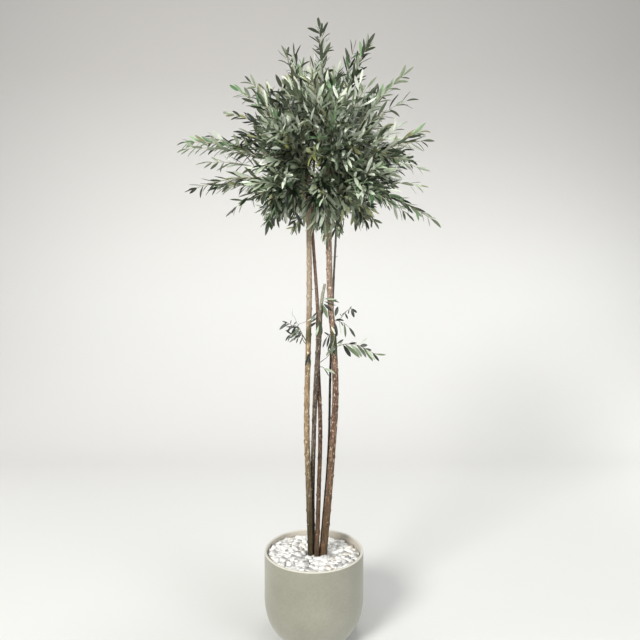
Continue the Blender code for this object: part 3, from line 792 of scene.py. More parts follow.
# azimuth (0 is +X, 270 the front), elevation, reach, fullness, and the stem and height the bough grows from.
# The wings and the crest are airy, and a mass without a height sits on its stem's tip
masses = {
    "low_left": (181, -3, 0.455, 0.36, "stem_left", 1.395),
    "low_front_left": (226, -19, 0.330, 1.0, "stem_left", 1.420),
    "low_front": (271, -26, 0.285, 1.0, "stem_right", 1.385),
    "low_front_right": (316, -21, 0.320, 1.0, "stem_right", 1.412),
    "low_right": (358, -19, 0.418, 0.42, "stem_right_thin", 1.385),
    "low_back_right": (44, -19, 0.320, 1.0, "stem_right_thin", 1.412),
    "low_back": (90, -22, 0.310, 1.0, "stem_middle_thin", 1.415),
    "low_back_left": (137, -18, 0.330, 1.0, "stem_left", 1.448),
    "mid_left": (178, 17, 0.510, 0.45, "stem_left", 1.470),
    "mid_front_left": (236, 21, 0.345, 1.0, "stem_left", 1.494),
    "mid_front": (286, 17, 0.330, 1.0, "stem_right", 1.448),
    "mid_right": (342, 17, 0.385, 0.40, "stem_right", 1.474),
    "mid_back_right": (24, 22, 0.370, 0.52, "stem_right_thin", 1.455),
    "mid_back": (76, 20, 0.345, 1.0, "stem_middle_thin", 1.462),
    "mid_back_left": (127, 22, 0.350, 0.75, "stem_middle_thin", 1.495),
    "upper_left": (184, 47, 0.440, 0.66, "stem_left", 1.522),
    "upper_front": (262, 50, 0.385, 1.0, "stem_right", 1.505),
    "upper_right": (341, 49, 0.450, 0.48, "stem_right", 1.530),
    "upper_back_right": (41, 52, 0.395, 0.60, "stem_right_thin", None),
    "upper_back": (110, 57, 0.400, 1.0, "stem_middle_thin", None),
    "top_left": (187, 74, 0.460, 0.80, "stem_left", None),
    "top_right": (357, 72, 0.505, 0.75, "stem_right", 1.558),
    "top": (90, 87, 0.547, 0.75, "stem_right", None),
}


def makeBoughs():
    made = {}
    for name, (azimuth, elevation, _, _, stem, height) in masses.items():
        if height is None:
            continue
        root, stemRadius = pointAtHeight(stems[stem], height)
        reach = head["topBoughReach"] if elevation > head["steep"] else head["boughReach"]
        tip = head["focus"] + direction(azimuth, elevation) * reach
        outward = (tip - root).normalized()
        middle = root + (outward + Vector((0, 0, head["boughRise"]))).normalized() * (tip - root).length * 0.5
        points = bendLine(root, middle, tip, head["boughSteps"])
        radii = taper(max(head["boughTip"], stemRadius * head["boughShare"]), head["boughTip"], len(points))
        made[name] = {"points": points, "radii": radii}
        finish, slot = stemBarks[stem]
        node, sides = "bough_" + name, head["boughSides"]
        makeLimb(camel(node), made[name], barks[finish], [node], sides, head["boughCollar"])
    return made


boughs = makeBoughs()
print("boughs ready:", len(boughs))


# Twigs and leaves, grown on from the limbs' tips

twig = {
    "step": 0.013,
    "wander": 0.055,
    "sideCount": 9,
    "fineCount": 3,
    "boughCount": 3,
    "boughFrom": 4,  # points up a bough
    "stemCount": 6,
    "stemFrom": 1.37,
    "stemSpread": (0.7, 1.3),
    "heartStop": (0.34, 0.58),
    "sideSpread": (0.32, 0.85),
    "fineSpread": (0.30, 0.62),
    "sidePlaces": (0.02, 0.66),
    "sideShift": 0.7,
    "pull": 0.10,
    "droop": 0.030,
    "arch": 0.16,
    "archFoot": 0.006,
    "archSteps": 16,
    "stop": (0.56, 0.76),
    "longStop": (0.82, 0.93),
    "longOdds": 0.12,
    "longest": 34,
    "shortest": 4,
    "rooted": 0.002,  # how deep it starts in what it grows from
    "leader": (0.0025, 0.0010),
    "leaderFade": 0.9,
    "side": (0.0015, 0.0007),
    "fine": (0.0010, 0.0006),
    "sides": 5,
    "shootRoots": (0.10, 0.24),
    "seed": 7,
}
leaf = {
    "length": (0.042, 0.062),
    "lengthAlong": (0.76, 0.28),  # share at a twig's ends, and what its middle adds
    "width": 0.0104,
    "widths": (0.82, 1.15),
    "usual": 0.05,
    "slimming": 0.6,
    "outline": (1.05, 0.72),
    "thickness": 0.0006,
    "fold": 0.26,
    "curve": 0.16,
    "cuts": 6,
    "sharpest": 70,
    "spacing": 0.0165,
    "spacings": (0.8, 1.25),
    "spread": (0.36, 0.80),
    "spin": 0.35,
    "sag": 0.12,
    "sags": (0.2, 1.8),
    "lean": (0.5, 0.85, 0.45),  # how far its face turns to the twig's end, upwards and at random
    "bend": (-0.20, 0.70),
    "leastBend": 0.02,
    "tipLeaf": 0.047,
    "tipLengths": (0.75, 1.1),
    "clear": 0.0030,
    "manyPoints": 60,
    "stride": 6,  # through a limb's points, when it has many
    "shortStride": 2,
    "oddOne": 0.45,
    "heart": 0.45,
    "outside": 0.78,
    "skirt": 0.075,
    # clumps of painted shade: centre and reach
    "dusk": ((Vector((-0.165, -0.050, 1.625)), 0.105), (Vector((0.020, 0.0, 1.915)), 0.140)),
    "onLeader": (0.45, 0.95, 1.1),  # where the leaves begin, and their size and spacing
    "onSide": (0.14, 1.0, 1.0),
    "onShoot": (0.2, 0.95, 1.22),
}
# upper and under colours of each spray, and how many sprays have them in the heart, between, outside, and in
# the painted shade of the skirt, the crest and one clump on the left. The near-black and pale shades are
# partly painted shade and painted light, and the darker mixes in the heart and outside are painted shade as
# well
shades = {
    "Ink": ((14, 20, 11), (52, 62, 43), (29, 20, 28, 38)),
    "Deep": ((36, 47, 30), (84, 94, 71), (24, 17, 27, 30)),
    "Sage": ((86, 98, 73), (130, 141, 117), (16, 15, 21, 14)),
    "Silver": ((142, 153, 131), (168, 177, 158), (14, 23, 13, 8)),
    "Pale": ((172, 181, 163), (195, 201, 187), (6, 15, 3, 2)),
    "Olive": ((104, 108, 60), (150, 154, 114), (6, 5, 4, 4)),
    "Fresh": ((60, 94, 54), (122, 150, 110), (5, 5, 5, 4)),
}
# long shoots that stand out of the head: the mass they grow from, azimuth, elevation, reach, and their own
# shade if they have one; an own Ink is painted shade
longShoots = {
    "topRight": ("top_right", 12, 76.5, 0.500, "Fresh"),
    "topLeft": ("top_left", 168, 80, 0.430),
    "crest": ("top", 165, 89, 0.548, "Ink"),
    "shoulderRight": ("upper_right", 350, 42, 0.410),
    "shoulderRightHigh": ("upper_right", 14, 57, 0.405),
    "shoulderLeft": ("upper_left", 172, 55, 0.460),
    "wingUpper": ("mid_left", 187, 12, 0.482),
    "wingMiddle": ("low_left", 174, 11, 0.440),
    "wingLower": ("low_left", 177, -2, 0.400),
    "wingDroop": ("low_left", 186, -18, 0.340),
    "skirtLeft": ("low_left", 198, -38, 0.270),
    "skirtRight": ("low_right", 6, -19, 0.345),
    "sideRight": ("low_right", 352, -4, 0.350),
    "skirtFront": ("low_front", 255, -58, 0.225),
    "skirtFrontRight": ("low_front", 305, -64, 0.225),
    "skirtFrontLeft": ("low_front_left", 215, -55, 0.230),
    "skirtBack": ("low_back", 80, -58, 0.225),
    "skirtStem": ("low_front", 284, -72, 0.245),
    "skirtStemRight": ("low_front_right", 330, -66, 0.215),
    "sideRightHigh": ("mid_right", 8, 17, 0.345),
    "sideRightMiddle": ("mid_right", 352, 7, 0.350),
    "plumeLeftHigh": ("upper_left", 183, 37, 0.400, "Ink"),
    "plumeLeft": ("upper_left", 177, 27, 0.365, "Ink"),
    "topRightDark": ("top_right", 350, 71, 0.500, "Ink"),
}
# places the head leaves open, as they are seen from the front: across, up and radius
openings = (
    (-0.289, 1.482, 0.026), (-0.247, 1.425, 0.038), (-0.199, 1.387, 0.030), (0.267, 1.781, 0.033),
    (0.264, 1.710, 0.033), (0.172, 1.838, 0.034), (0.228, 1.374, 0.039), (0.312, 1.332, 0.046),
    (0.189, 1.319, 0.027), (-0.202, 1.892, 0.029), (-0.225, 1.490, 0.028), (0.094, 1.905, 0.020),
)


def leafTemplate():  # a four-sided rod: two edges, the upper and the lower midrib, drawn out to a lance
    bm = bmesh.new()
    cutRod(bm, 4, leaf["cuts"])
    for end in (-0.5, 0.5):
        ring = [vert for vert in bm.verts if abs(vert.co.z - end) < 0.001]
        bmesh.ops.pointmerge(bm, verts=ring, merge_co=(0, 0, end))
    bmesh.ops.triangulate(bm, faces=bm.faces)
    bmesh.ops.recalc_face_normals(bm, faces=bm.faces)
    place, triangles = arraysFromBmesh(bm)
    along = place[:, 2] + 0.5
    early, blunt = leaf["outline"]
    width = np.sin(np.pi * np.clip(along, 0, 1) ** early) ** blunt
    width[np.abs(place[:, 2]) > 0.499] = 0.0
    return {
        "along": along,
        "across": place[:, 0] * width,
        "edge": np.abs(place[:, 0]) * width,
        "body": place[:, 1] * np.sqrt(width),
        "triangles": triangles,
        "under": place[triangles, 1].mean(axis=1) <= 0,
    }


def alongLine(points, share):
    place = share * (len(points) - 1)
    i = min(int(place), len(points) - 2)
    return points[i].lerp(points[i + 1], place - i), (points[i + 1] - points[i]).normalized()


def sideDirection(heading, spin, spread):
    across = heading.orthogonal().normalized()
    across.rotate(Matrix.Rotation(spin, 3, heading))
    return (heading * math.cos(spread) + across * math.sin(spread)).normalized()


def lineLength(points):
    return sum((b - a).length for a, b in zip(points, points[1:]))


massWays = np.array([direction(values[0], values[1])[:] for values in masses.values()])
massReaches = np.array([values[2] for values in masses.values()])


def headReach(place):  # how far the head reaches that way, blended from the masses round it
    way = (place - head["focus"]).normalized()
    weights = np.exp(head["blend"] * (massWays @ np.array(way[:]) - 1))
    start, run = head["under"]
    below = min(1.0, max(0.0, (start - way.z) / run))
    return float(weights @ massReaches / weights.sum()) * (1 - head["underCut"] * below)


def growPlume(start, heading, stop, rng):  # turns outwards as it grows, and stops at its share of the reach
    points = [start]
    for _ in range(twig["longest"]):
        outward = (points[-1] - head["focus"]).normalized()
        droop = Vector((0, 0, twig["droop"] * (1 - abs(outward.z))))
        heading = heading + outward * twig["pull"] - droop + shake(rng, twig["wander"])
        heading.normalize()
        ahead = points[-1] + heading * twig["step"]
        if (ahead - head["focus"]).length > headReach(ahead) * stop:
            break
        points.append(ahead)
    return points


def pickShade(rng, place):
    # sprays take darker shades in the heart, outside, under the skirt and in the painted-shade clumps:
    # painted shade
    out = (place - head["focus"]).length / headReach(place)
    zone = 0 if out < leaf["heart"] else 1 if out < leaf["outside"] else 2
    dusk = any((place - at).length < reach for at, reach in leaf["dusk"])
    if dusk or place.z < head["focus"].z - leaf["skirt"]:
        zone = 3
    return rng.choices(list(shades), [values[2][zone] for values in shades.values()])[0]


def addLeaf(foliage, place, heading, twigHeading, length, shade, varied=True, broad=1.0):
    rng = foliage["rng"]
    endwards, upwards, loosely = leaf["lean"]
    lean = twigHeading * endwards + Vector((0, 0, upwards)) + shake(rng, loosely)
    side = lean.cross(heading).normalized()
    face = heading.cross(side)
    width = leaf["width"] * broad * (length / leaf["usual"]) ** leaf["slimming"]
    width *= rng.uniform(*leaf["widths"])
    bend = rng.uniform(*leaf["bend"])
    if varied and rng.random() < leaf["oddOne"]:
        shade = pickShade(rng, place)
    row = (*place, *heading, *side, *face, length, width, bend, rng.uniform(-0.5, 0.5))
    foliage["leaves"][shade].append(row)


def dressTwig(foliage, points, shade, first, size, spacing):  # pairs, each a quarter turn on
    rng = foliage["rng"]
    total = lineLength(points)
    at, spin = total * first, rng.uniform(0, math.pi)
    atEnds, inMiddle = leaf["lengthAlong"]
    while at < total:
        place, heading = alongLine(points, at / total)
        spin += math.pi / 2 + rng.uniform(-leaf["spin"], leaf["spin"])
        for half in (0, math.pi):
            lean = sideDirection(heading, spin + half, rng.uniform(*leaf["spread"]))
            lean = (lean - Vector((0, 0, leaf["sag"] * rng.uniform(*leaf["sags"])))).normalized()
            length = rng.uniform(*leaf["length"]) * size
            length *= atEnds + inMiddle * math.sin(math.pi * at / total)
            addLeaf(foliage, place, lean, heading, length, shade)
        at += leaf["spacing"] * spacing * rng.uniform(*leaf["spacings"])
    place, heading = alongLine(points, 1.0)
    length = leaf["tipLeaf"] * size * rng.uniform(*leaf["tipLengths"])
    addLeaf(foliage, place, heading, heading.orthogonal(), length, shade)


def isOpen(place):
    x, y, z = studio["eye"]
    nearer = -y / (place.y - y)  # carried to the plane of the stems
    across, up = x + (place.x - x) * nearer, z + (place.z - z) * nearer
    return any(math.hypot(across - a, up - b) < reach for a, b, reach in openings)


def growSides(foliage, line, count, radii, spread, fines, stops, longOdds=0.0):
    shared = foliage["rng"]
    spin = shared.uniform(0, math.tau)
    first, last = twig["sidePlaces"]
    for i in range(count):
        foliage["rng"] = rng = random.Random(shared.random())
        share = first + (last - first) * (i + rng.uniform(0, twig["sideShift"])) / count
        place, heading = alongLine(line, share)
        spin += goldenAngle
        stop = rng.uniform(*stops)
        if rng.random() < longOdds:
            stop = rng.uniform(*twig["longStop"])
        points = growPlume(place, sideDirection(heading, spin, rng.uniform(*spread)), stop, rng)
        if len(points) < twig["shortest"] or isOpen(points[-1]) or isOpen(points[len(points) // 2]):
            continue
        foliage["twigs"].append((points, taper(*radii, len(points))))
        dressTwig(foliage, points, pickShade(rng, points[-1]), *leaf["onSide"])
        if fines:
            growSides(foliage, points, fines, twig["fine"], twig["fineSpread"], 0, stops)
    foliage["rng"] = shared


def archedLine(root, heading, azimuth, elevation, reach):
    target = head["focus"] + direction(azimuth, elevation) * (reach - leaf["tipLeaf"])
    middle = root.lerp(target, 0.5) + Vector((0, 0, twig["arch"] * (target - root).length))
    return [root, *bendLine(root + heading * twig["archFoot"], middle, target, twig["archSteps"])]


def growMass(foliage, limb, azimuth, elevation, reach, full):
    tip, thick = limb["points"][-1], limb["radii"][-1]
    heading = (tip - limb["points"][-2]).normalized()
    line = archedLine(tip - heading * twig["rooted"], heading, azimuth, elevation, reach)
    slender = taper(*twig["leader"], len(line))
    radii = [max(radius, thick * math.exp(-i * twig["leaderFade"])) for i, radius in enumerate(slender)]
    foliage["twigs"].append((line, radii))
    dressTwig(foliage, line, pickShade(foliage["rng"], line[-1]), *leaf["onLeader"])
    count, fines = (round(twig[key] * full) for key in ("sideCount", "fineCount"))
    growSides(foliage, line, count, twig["side"], twig["sideSpread"], fines, twig["stop"], twig["longOdds"])
    return line


def newFoliage(seed):
    return {"rng": random.Random(seed), "twigs": [], "leaves": {name: [] for name in shades}}


def growHead():
    foliage = newFoliage(twig["seed"])
    leaders = {}
    for i, (name, (azimuth, elevation, reach, full, stem, height)) in enumerate(masses.items()):
        foliage["rng"] = random.Random(twig["seed"] + i)
        limb = stems[stem] if height is None else boughs[name]
        leaders[name] = growMass(foliage, limb, azimuth, elevation, reach, full)
    hearts = []
    for bough in boughs.values():
        hearts.append((bough["points"][twig["boughFrom"]:], twig["boughCount"], twig["sideSpread"]))
    for name in ("stem_left", "stem_right", "stem_middle_thin", "stem_right_thin"):
        high = [point for point in stems[name]["points"] if point.z > twig["stemFrom"]]
        hearts.append((high, twig["stemCount"], twig["stemSpread"]))
    for points, count, spread in hearts:  # short twigs fill the heart
        growSides(foliage, points, count, twig["side"], spread, 1, twig["heartStop"])
    for i, (mass, azimuth, elevation, reach, *shade) in enumerate(longShoots.values()):
        foliage["rng"] = rng = random.Random(twig["seed"] + i)
        place, heading = alongLine(leaders[mass], rng.uniform(*twig["shootRoots"]))
        line = archedLine(place, heading, azimuth, elevation, reach)[1:]
        foliage["twigs"].append((line, taper(*twig["side"], len(line))))
        dressTwig(foliage, line, shade[0] if shade else pickShade(rng, line[-1]), *leaf["onShoot"])
    return foliage


def limbDistance(points):  # how far each point is outside the nearest limb
    nearest = np.full(len(points), 1.0)
    for limb in [*stems.values(), *boughs.values(), stub]:
        stride = leaf["stride"] if len(limb["points"]) > leaf["manyPoints"] else leaf["shortStride"]
        line = np.array([point[:] for point in limb["points"]])[::stride]
        radii = np.array(limb["radii"])[::stride]
        for a, b, radius in zip(line, line[1:], radii):
            span = b - a
            share = np.clip((points - a) @ span / (span @ span), 0, 1)
            away = np.linalg.norm(points - a - share[:, None] * span, axis=1) - radius
            nearest = np.minimum(nearest, away)
    return nearest


template = leafTemplate()


def leafArrays(rows):  # every leaf of one shade, bent and turned into place at once
    rows = np.array(rows)
    root, heading, length = rows[:, 0:3], rows[:, 3:6], rows[:, 12:13]
    middle, tip = (limbDistance(root + heading * (length * share)) for share in (0.55, 1.0))
    rows = rows[(middle > leaf["clear"]) & (tip > leaf["clear"])]
    root, heading, side, face = (rows[:, None, i : i + 3] for i in (0, 3, 6, 9))
    length, width, bend, sickle = (rows[:, i : i + 1] for i in (12, 13, 14, 15))
    along, across, edge, body = (template[key] for key in ("along", "across", "edge", "body"))
    bend = np.where(np.abs(bend) < leaf["leastBend"], leaf["leastBend"], bend)
    turn = bend * along
    lift = edge * width / 2 * leaf["fold"] + body * leaf["thickness"] / 2
    forward = length * np.sin(turn) / bend + lift * np.sin(turn)
    up = -length * (1 - np.cos(turn)) / bend + lift * np.cos(turn)
    sideways = across * width / 2 + sickle * length * leaf["curve"] * along**2
    points = root + forward[..., None] * heading + sideways[..., None] * side
    points += up[..., None] * face
    triangles = template["triangles"] + (np.arange(len(rows)) * len(along))[:, None, None]
    under = np.tile(template["under"], len(rows))
    return points.reshape(-1, 3), triangles.reshape(-1, 3), under.astype(int)


def leafMaterial(name, colour, roughness, mottle):
    made, sockets = newFinish(name, roughness)
    base = screenColour(*colour)
    light = screenColour(*[min(255, value * (1 + mottle) + 4) for value in colour])
    tone = cloudNoise(made, ownPlace(made), 55.0, 3.0)
    join(made, rampColour(made, tone, ((0.42, base), (0.60, light))), sockets["Base Color"])
    join(made, bumpOn(made, cloudNoise(made, ownPlace(made), 420.0, 2.0), 0.0003, 0.35), sockets["Normal"])
    sockets["Specular IOR Level"].default_value = 0.5
    return made


def makeLeaves(prefix, leaves, nodes):
    for name, rows in leaves.items():
        if rows:
            mesh = meshFromTriangles(prefix + name, *leafArrays(rows))
            smoothMesh(mesh, leaf["sharpest"])
            linkPiece(prefix + name, mesh, leafFinishes[name], nodes)
            print(prefix + name, len(mesh.polygons), "triangles")


def tubeArrays(points, radii, sides):  # one tapering twig, closed at both ends
    line = np.array([point[:] for point in points])
    ahead = np.gradient(line, axis=0)
    ahead /= np.linalg.norm(ahead, axis=1)[:, None]
    hint = np.array((0.31, 0.95, 0.05)) if abs(ahead[:, 1]).mean() < 0.8 else np.array((0.95, 0.05, 0.31))
    across = np.cross(ahead, hint)
    across /= np.linalg.norm(across, axis=1)[:, None]
    over = np.cross(ahead, across)
    angles = np.arange(sides) * math.tau / sides
    ring = np.cos(angles)[:, None, None] * across + np.sin(angles)[:, None, None] * over
    rings = (line + ring * np.array(radii)[:, None]).transpose(1, 0, 2).reshape(-1, 3)
    ends = np.array([line[0], line[-1] + ahead[-1] * radii[-1]])
    triangles = []
    for i in range(len(line) - 1):
        for k in range(sides):
            a, b = i * sides + k, i * sides + (k + 1) % sides
            triangles += [(a, b, b + sides), (a, b + sides, a + sides)]
    first, last, final = len(rings), len(rings) + 1, (len(line) - 1) * sides
    for k in range(sides):
        after = (k + 1) % sides
        triangles += [(first, after, k), (last, final + k, final + after)]
    return np.vstack((rings, ends)), np.array(triangles)


def twigMaterial(name, *tones):
    made, sockets = newFinish(name, 0.7)
    place = ownPlace(made)
    tones = [screenColour(*tone) for tone in tones]
    base = rampColour(made, cloudNoise(made, place, 130.0), tuple(zip((0.34, 0.52, 0.70), tones)))
    join(made, base, sockets["Base Color"])
    join(made, bumpOn(made, cloudNoise(made, place, 600.0), 0.0003, 0.5), sockets["Normal"])
    return made


def makeTwigs(name, twigs, finish, nodes):
    shapes = [tubeArrays(line, radii, twig["sides"]) for line, radii in twigs]
    mesh = meshFromTriangles(name, *stackShapes(shapes))
    mesh.shade_smooth()
    linkPiece(name, mesh, [finish], nodes)
    print(name, len(mesh.polygons), "triangles")


leafFinishes = {
    name: [
        leafMaterial("leafUpper" + name, upper, 0.42, 0.10),
        leafMaterial("leafUnder" + name, under, 0.7, 0.05),
    ]
    for name, (upper, under, _) in shades.items()
}
twigFinish = twigMaterial("twigBark", (112, 108, 84), (154, 152, 124), (184, 182, 156))
shootFinish = twigMaterial("shootBark", (44, 42, 34), (78, 76, 60), (126, 122, 98))

crown = growHead()
massNodes = ["mass_" + name for name in masses]
makeTwigs("headTwigs", crown["twigs"], twigFinish, massNodes)
makeLeaves("headLeaves", crown["leaves"], massNodes)


# Short shoots and single leaves on the bare stems

shoots = {  # limb, depth of the tip before it, then places from left to right and up, in millimetres
    "leftMain": (
        "stem_left", 12, (-23, 927), (-36, 948), (-39, 967), (-46, 984), (-55, 993), (-72, 997),
        (-88, 1005),
    ),
    "leftLow": ("stem_left", 20, (-23, 930), (-39, 964), (-49, 956), (-59, 958)),
    "leftHigh": ("stem_left", -10, (-23, 932), (-41, 969), (-59, 966), (-78, 966)),
    "leftTendril": (
        "stem_left", 0, (-23, 1010), (-42, 1002), (-54, 1000), (-62, 1020), (-70, 1029), (-70, 1042),
    ),
    "upperRight": (
        "stem_right", 10, (63, 1006), (75, 1013), (88, 1021), (100, 1036), (111, 1046), (123, 1050),
    ),
    "middleRight": ("stem_right", 15, (63, 1008), (78, 1011), (88, 1005), (98, 1002), (112, 990)),
    "lowerRight": (
        "stem_right", 20, (68, 922), (90, 932), (104, 935), (129, 934), (150, 928), (169, 919),
        (186, 909), (197, 904),
    ),
    "hanging": ("stem_right", 18, (60, 967), (50, 966), (43, 960)),
    "front": ("stem_middle", 34, (20, 870), (39, 891), (53, 907), (59, 912)),
    "frontLow": ("stem_middle", 22, (18, 862), (26, 862), (32, 859)),
}
# leaves by what they grow from: height on the limb or share along the twig, angle seen from the front, length
# in millimetres, breadth, shade, and where across the limb they start. The shades follow how dark or pale
# each leaf looks, so Ink leaves are partly painted shade and Pale ones partly painted highlight
shootLeaves = {
    "leftMain": (
        (0.24, 249, 25, 0.6, "Ink"), (0.42, 238, 26, 0.9, "Deep"), (0.52, 243, 30, 1.0, "Deep"),
        (0.56, 172, 42, 0.7, "Ink"), (0.6, 250, 27, 1.0, "Deep"), (0.64, 288, 22, 0.9, "Deep"),
        (0.67, 225, 25, 1.0, "Deep"), (0.74, 214, 33, 0.9, "Ink"), (0.78, 52, 17, 0.8, "Deep"),
        (0.82, 236, 24, 1.0, "Ink"), (0.88, 70, 15, 0.7, "Ink"), (0.9, 200, 24, 0.8, "Deep"),
        (0.46, 262, 26, 0.9, "Deep"), (0.7, 244, 30, 0.9, "Ink"), (1.0, 229, 34, 1.3, "Deep"),
        (0.94, 162, 20, 0.8, "Ink"), (0.5, 222, 30, 0.9, "Ink"), (0.58, 232, 36, 0.8, "Sage"),
        (0.36, 215, 28, 0.9, "Ink"), (0.34, 150, 18, 0.8, "Deep"),
    ),
    "leftLow": (
        (1.0, 222, 27, 0.8, "Ink"), (0.72, 250, 20, 0.8, "Deep"),
    ),
    "leftHigh": (
        (1.0, 230, 28, 0.8, "Ink"), (0.94, 243, 26, 0.6, "Deep"), (0.86, 152, 27, 0.8, "Ink"),
        (0.7, 215, 22, 1.0, "Deep"), (0.6, 245, 24, 1.1, "Deep"),
    ),
    "leftTendril": (
        (0.3, 238, 14, 0.7, "Sage"), (1.0, 96, 12, 0.5, "Pale"),
    ),
    "stem_middle": (
        (1.043, 229, 34, 0.7, "Ink"), (1.026, 209, 33, 0.6, "Pale"), (1.021, 220, 22, 1.0, "Deep"),
        (1.008, 211, 28, 1.0, "Ink"), (0.998, 258, 36, 1.0, "Silver"), (1.012, 277, 42, 1.0, "Deep"),
    ),
    "stub": (
        (1.068, 278, 30, 0.7, "Ink"), (1.068, 324, 34, 1.1, "Ink"), (1.066, 293, 48, 1.35, "Sage"),
        (1.086, 348, 48, 0.8, "Sage"), (1.08, 356, 43, 0.6, "Silver"), (1.077, 334, 41, 0.7, "Deep"),
    ),
    "stem_right": (
        (0.997, 301, 28, 0.8, "Pale", -0.6), (0.984, 290, 18, 1.0, "Ink"),
        (1.008, 279, 46, 1.0, "Ink", 0.9), (0.968, 262, 26, 0.6, "Deep", 0.2),
        (0.971, 256, 46, 0.8, "Sage", 0.5), (0.952, 287, 30, 0.6, "Ink", -0.6),
        (0.938, 250, 33, 0.9, "Sage", 0.3), (0.93, 282, 30, 0.8, "Deep", 0.2),
        (0.933, 37, 26, 0.9, "Deep"), (0.923, 42, 27, 0.8, "Silver"), (0.959, 150, 24, 0.8, "Ink"),
        (1.014, 359, 27, 0.9, "Ink"), (1.021, 71, 33, 1.3, "Deep", 0.97), (0.955, 250, 42, 0.9, "Ink"),
        (0.928, 235, 32, 0.9, "Sage"), (0.945, 259, 36, 0.7, "Silver"),
    ),
    "upperRight": (
        (1.0, 318, 22, 1.0, "Ink"), (0.97, 282, 30, 1.35, "Ink"), (0.6, 297, 24, 0.9, "Ink"),
        (0.62, 211, 14, 0.9, "Ink"), (0.75, 222, 16, 0.8, "Deep"), (0.85, 255, 16, 0.8, "Deep"),
        (0.85, 50, 13, 0.7, "Deep"), (0.45, 130, 12, 0.8, "Sage"),
    ),
    "middleRight": (
        (0.72, 282, 50, 0.7, "Sage"), (1.0, 305, 40, 1.15, "Deep"), (0.45, 310, 16, 0.8, "Deep"),
        (0.32, 279, 44, 0.4, "Silver"),
    ),
    "lowerRight": (
        (0.18, 302, 55, 1.15, "Ink"), (0.25, 318, 64, 1.0, "Sage"), (0.36, 319, 63, 1.1, "Silver"),
        (0.48, 317, 62, 1.25, "Sage"), (0.62, 313, 60, 1.0, "Sage"), (0.7, 310, 46, 0.9, "Silver"),
        (0.88, 307, 34, 0.9, "Ink"), (1.0, 350, 35, 0.7, "Sage"), (0.33, 14, 30, 0.8, "Ink"),
        (0.55, 10, 26, 1.5, "Ink"), (0.68, 343, 25, 1.0, "Ink"), (0.5, 33, 44, 0.35, "Silver"),
        (0.92, 350, 19, 0.5, "Silver"),
    ),
    "hanging": (
        (1.0, 243, 40, 0.7, "Ink"), (0.45, 257, 44, 0.9, "Ink"),
    ),
    "front": (
        (0.95, 60, 20, 0.9, "Deep"), (0.6, 112, 17, 0.8, "Sage"),
    ),
    "frontLow": (
        (1.0, 339, 42, 0.8, "Silver"), (0.95, 305, 33, 0.5, "Deep"),
    ),
    "stem_left": (
        (0.914, 248, 47, 0.9, "Ink", 0.9), (0.907, 255, 35, 0.8, "Fresh", 0.7),
        (0.896, 274, 25, 0.8, "Deep", 0.6),
    ),
}
shoot = {
    "perMetre": 1000,  # millimetres
    "radii": (0.0013, 0.0007),
    "tendril": 0.5,
    "stalk": (0.0009, 0.0007, 0.0005),
    "stalkLength": 0.004,
    "turned": 0.8,  # how far round the limb a leaf starts, as a share of where it points
    "clear": 0.0006,
    "facing": Vector((0, -4, 0)),
    "steps": 4,
    "forward": (-0.45, -0.15),
    "forwardOnTwig": (-0.4, 0.3),
    "seed": 31,
}


def smoothTwig(places):
    points = []
    for i in range(len(places) - 1):
        before, after = places[max(i - 1, 0)], places[min(i + 2, len(places) - 1)]
        for k in range(shoot["steps"]):
            points.append(Vector(splineValue(before, places[i], places[i + 1], after, k / shoot["steps"])))
    return [*points, places[-1]]


def growShootTwigs(foliage, limbs):
    lines = {}
    for name, (limb, depth, *places) in shoots.items():
        last = len(places) - 1
        places = [(x / shoot["perMetre"], z / shoot["perMetre"]) for x, z in places]
        centre, _ = pointAtHeight(limbs[limb], places[0][1])
        tip = depth / shoot["perMetre"]
        spots = [Vector((x, centre.y - tip * i / last, z)) for i, (x, z) in enumerate(places)]
        lines[name] = smoothTwig([centre.copy(), *spots[1:]])
        thin = shoot["tendril"] if name == "leftTendril" else 1.0
        radii = [radius * thin for radius in shoot["radii"]]
        foliage["twigs"].append((lines[name], taper(*radii, len(lines[name]))))
    return lines


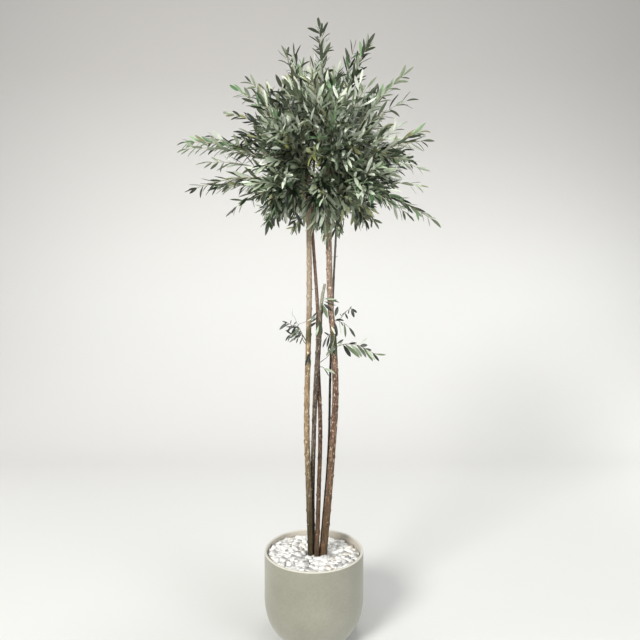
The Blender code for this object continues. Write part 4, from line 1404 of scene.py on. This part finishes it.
def growShoots():
    foliage = newFoliage(shoot["seed"])
    rng = foliage["rng"]
    limbs = {**stems, "stub": stub}
    lines = growShootTwigs(foliage, limbs)
    for source, leaves in shootLeaves.items():
        for at, angle, length, broad, shade, *start in leaves:
            across, rise = math.cos(math.radians(angle)), math.sin(math.radians(angle))
            if source in limbs:
                centre, radius = pointAtHeight(limbs[source], at)
                sideways = start[0] if start else across * shoot["turned"]
                out = Vector((sideways, -math.sqrt(1 - sideways**2), 0))
                foot = centre + out * (radius + shoot["clear"])
                heading = Vector((across, rng.uniform(*shoot["forward"]), rise))
                root = foot + heading * shoot["stalkLength"]
                foliage["twigs"].append(([foot - out * twig["rooted"], foot, root], shoot["stalk"]))
            else:
                root = alongLine(lines[source], at)[0]
                heading = Vector((across, rng.uniform(*shoot["forwardOnTwig"]), rise))
            size = length / shoot["perMetre"] * heading.length
            addLeaf(foliage, root, heading.normalized(), shoot["facing"], size, shade, False, broad)
    return foliage


sprigNodes = ["sprig_left", "sprig_right", "sprig_upper_right", "sprig_front"]
stemGrowth = growShoots()
makeTwigs("shootTwigs", stemGrowth["twigs"], shootFinish, sprigNodes)
makeLeaves("shootLeaves", stemGrowth["leaves"], sprigNodes)


# Snags: the stumps of twigs that were cut off the stems

snags = {
    "from": 0.30,
    "shift": 0.1,
    "gap": (0.09, 0.24),
    "top": 1.34,
    "underTop": 0.03,
    "rise": 25,
    "length": (0.002, 0.006),
    "radius": 0.0013,
    "flare": (1.5, 1.2, 1),
    "seed": 12,
}


def makeSnags():
    rng = random.Random(snags["seed"])
    stumps = []
    for limb in stems.values():
        height = snags["from"] + rng.uniform(0, snags["shift"])
        while height < min(snags["top"], limb["points"][-1].z - snags["underTop"]):
            centre, radius = pointAtHeight(limb, height)
            outward = direction(rng.uniform(0, 360), snags["rise"])
            length = radius + rng.uniform(*snags["length"])
            line = [centre + outward * reach for reach in (radius * 0.5, radius, length)]
            stumps.append((line, [snags["radius"] * wider for wider in snags["flare"]]))
            height += rng.uniform(*snags["gap"])
    makeTwigs("snags", stumps, twigFinish, list(stems))


makeSnags()
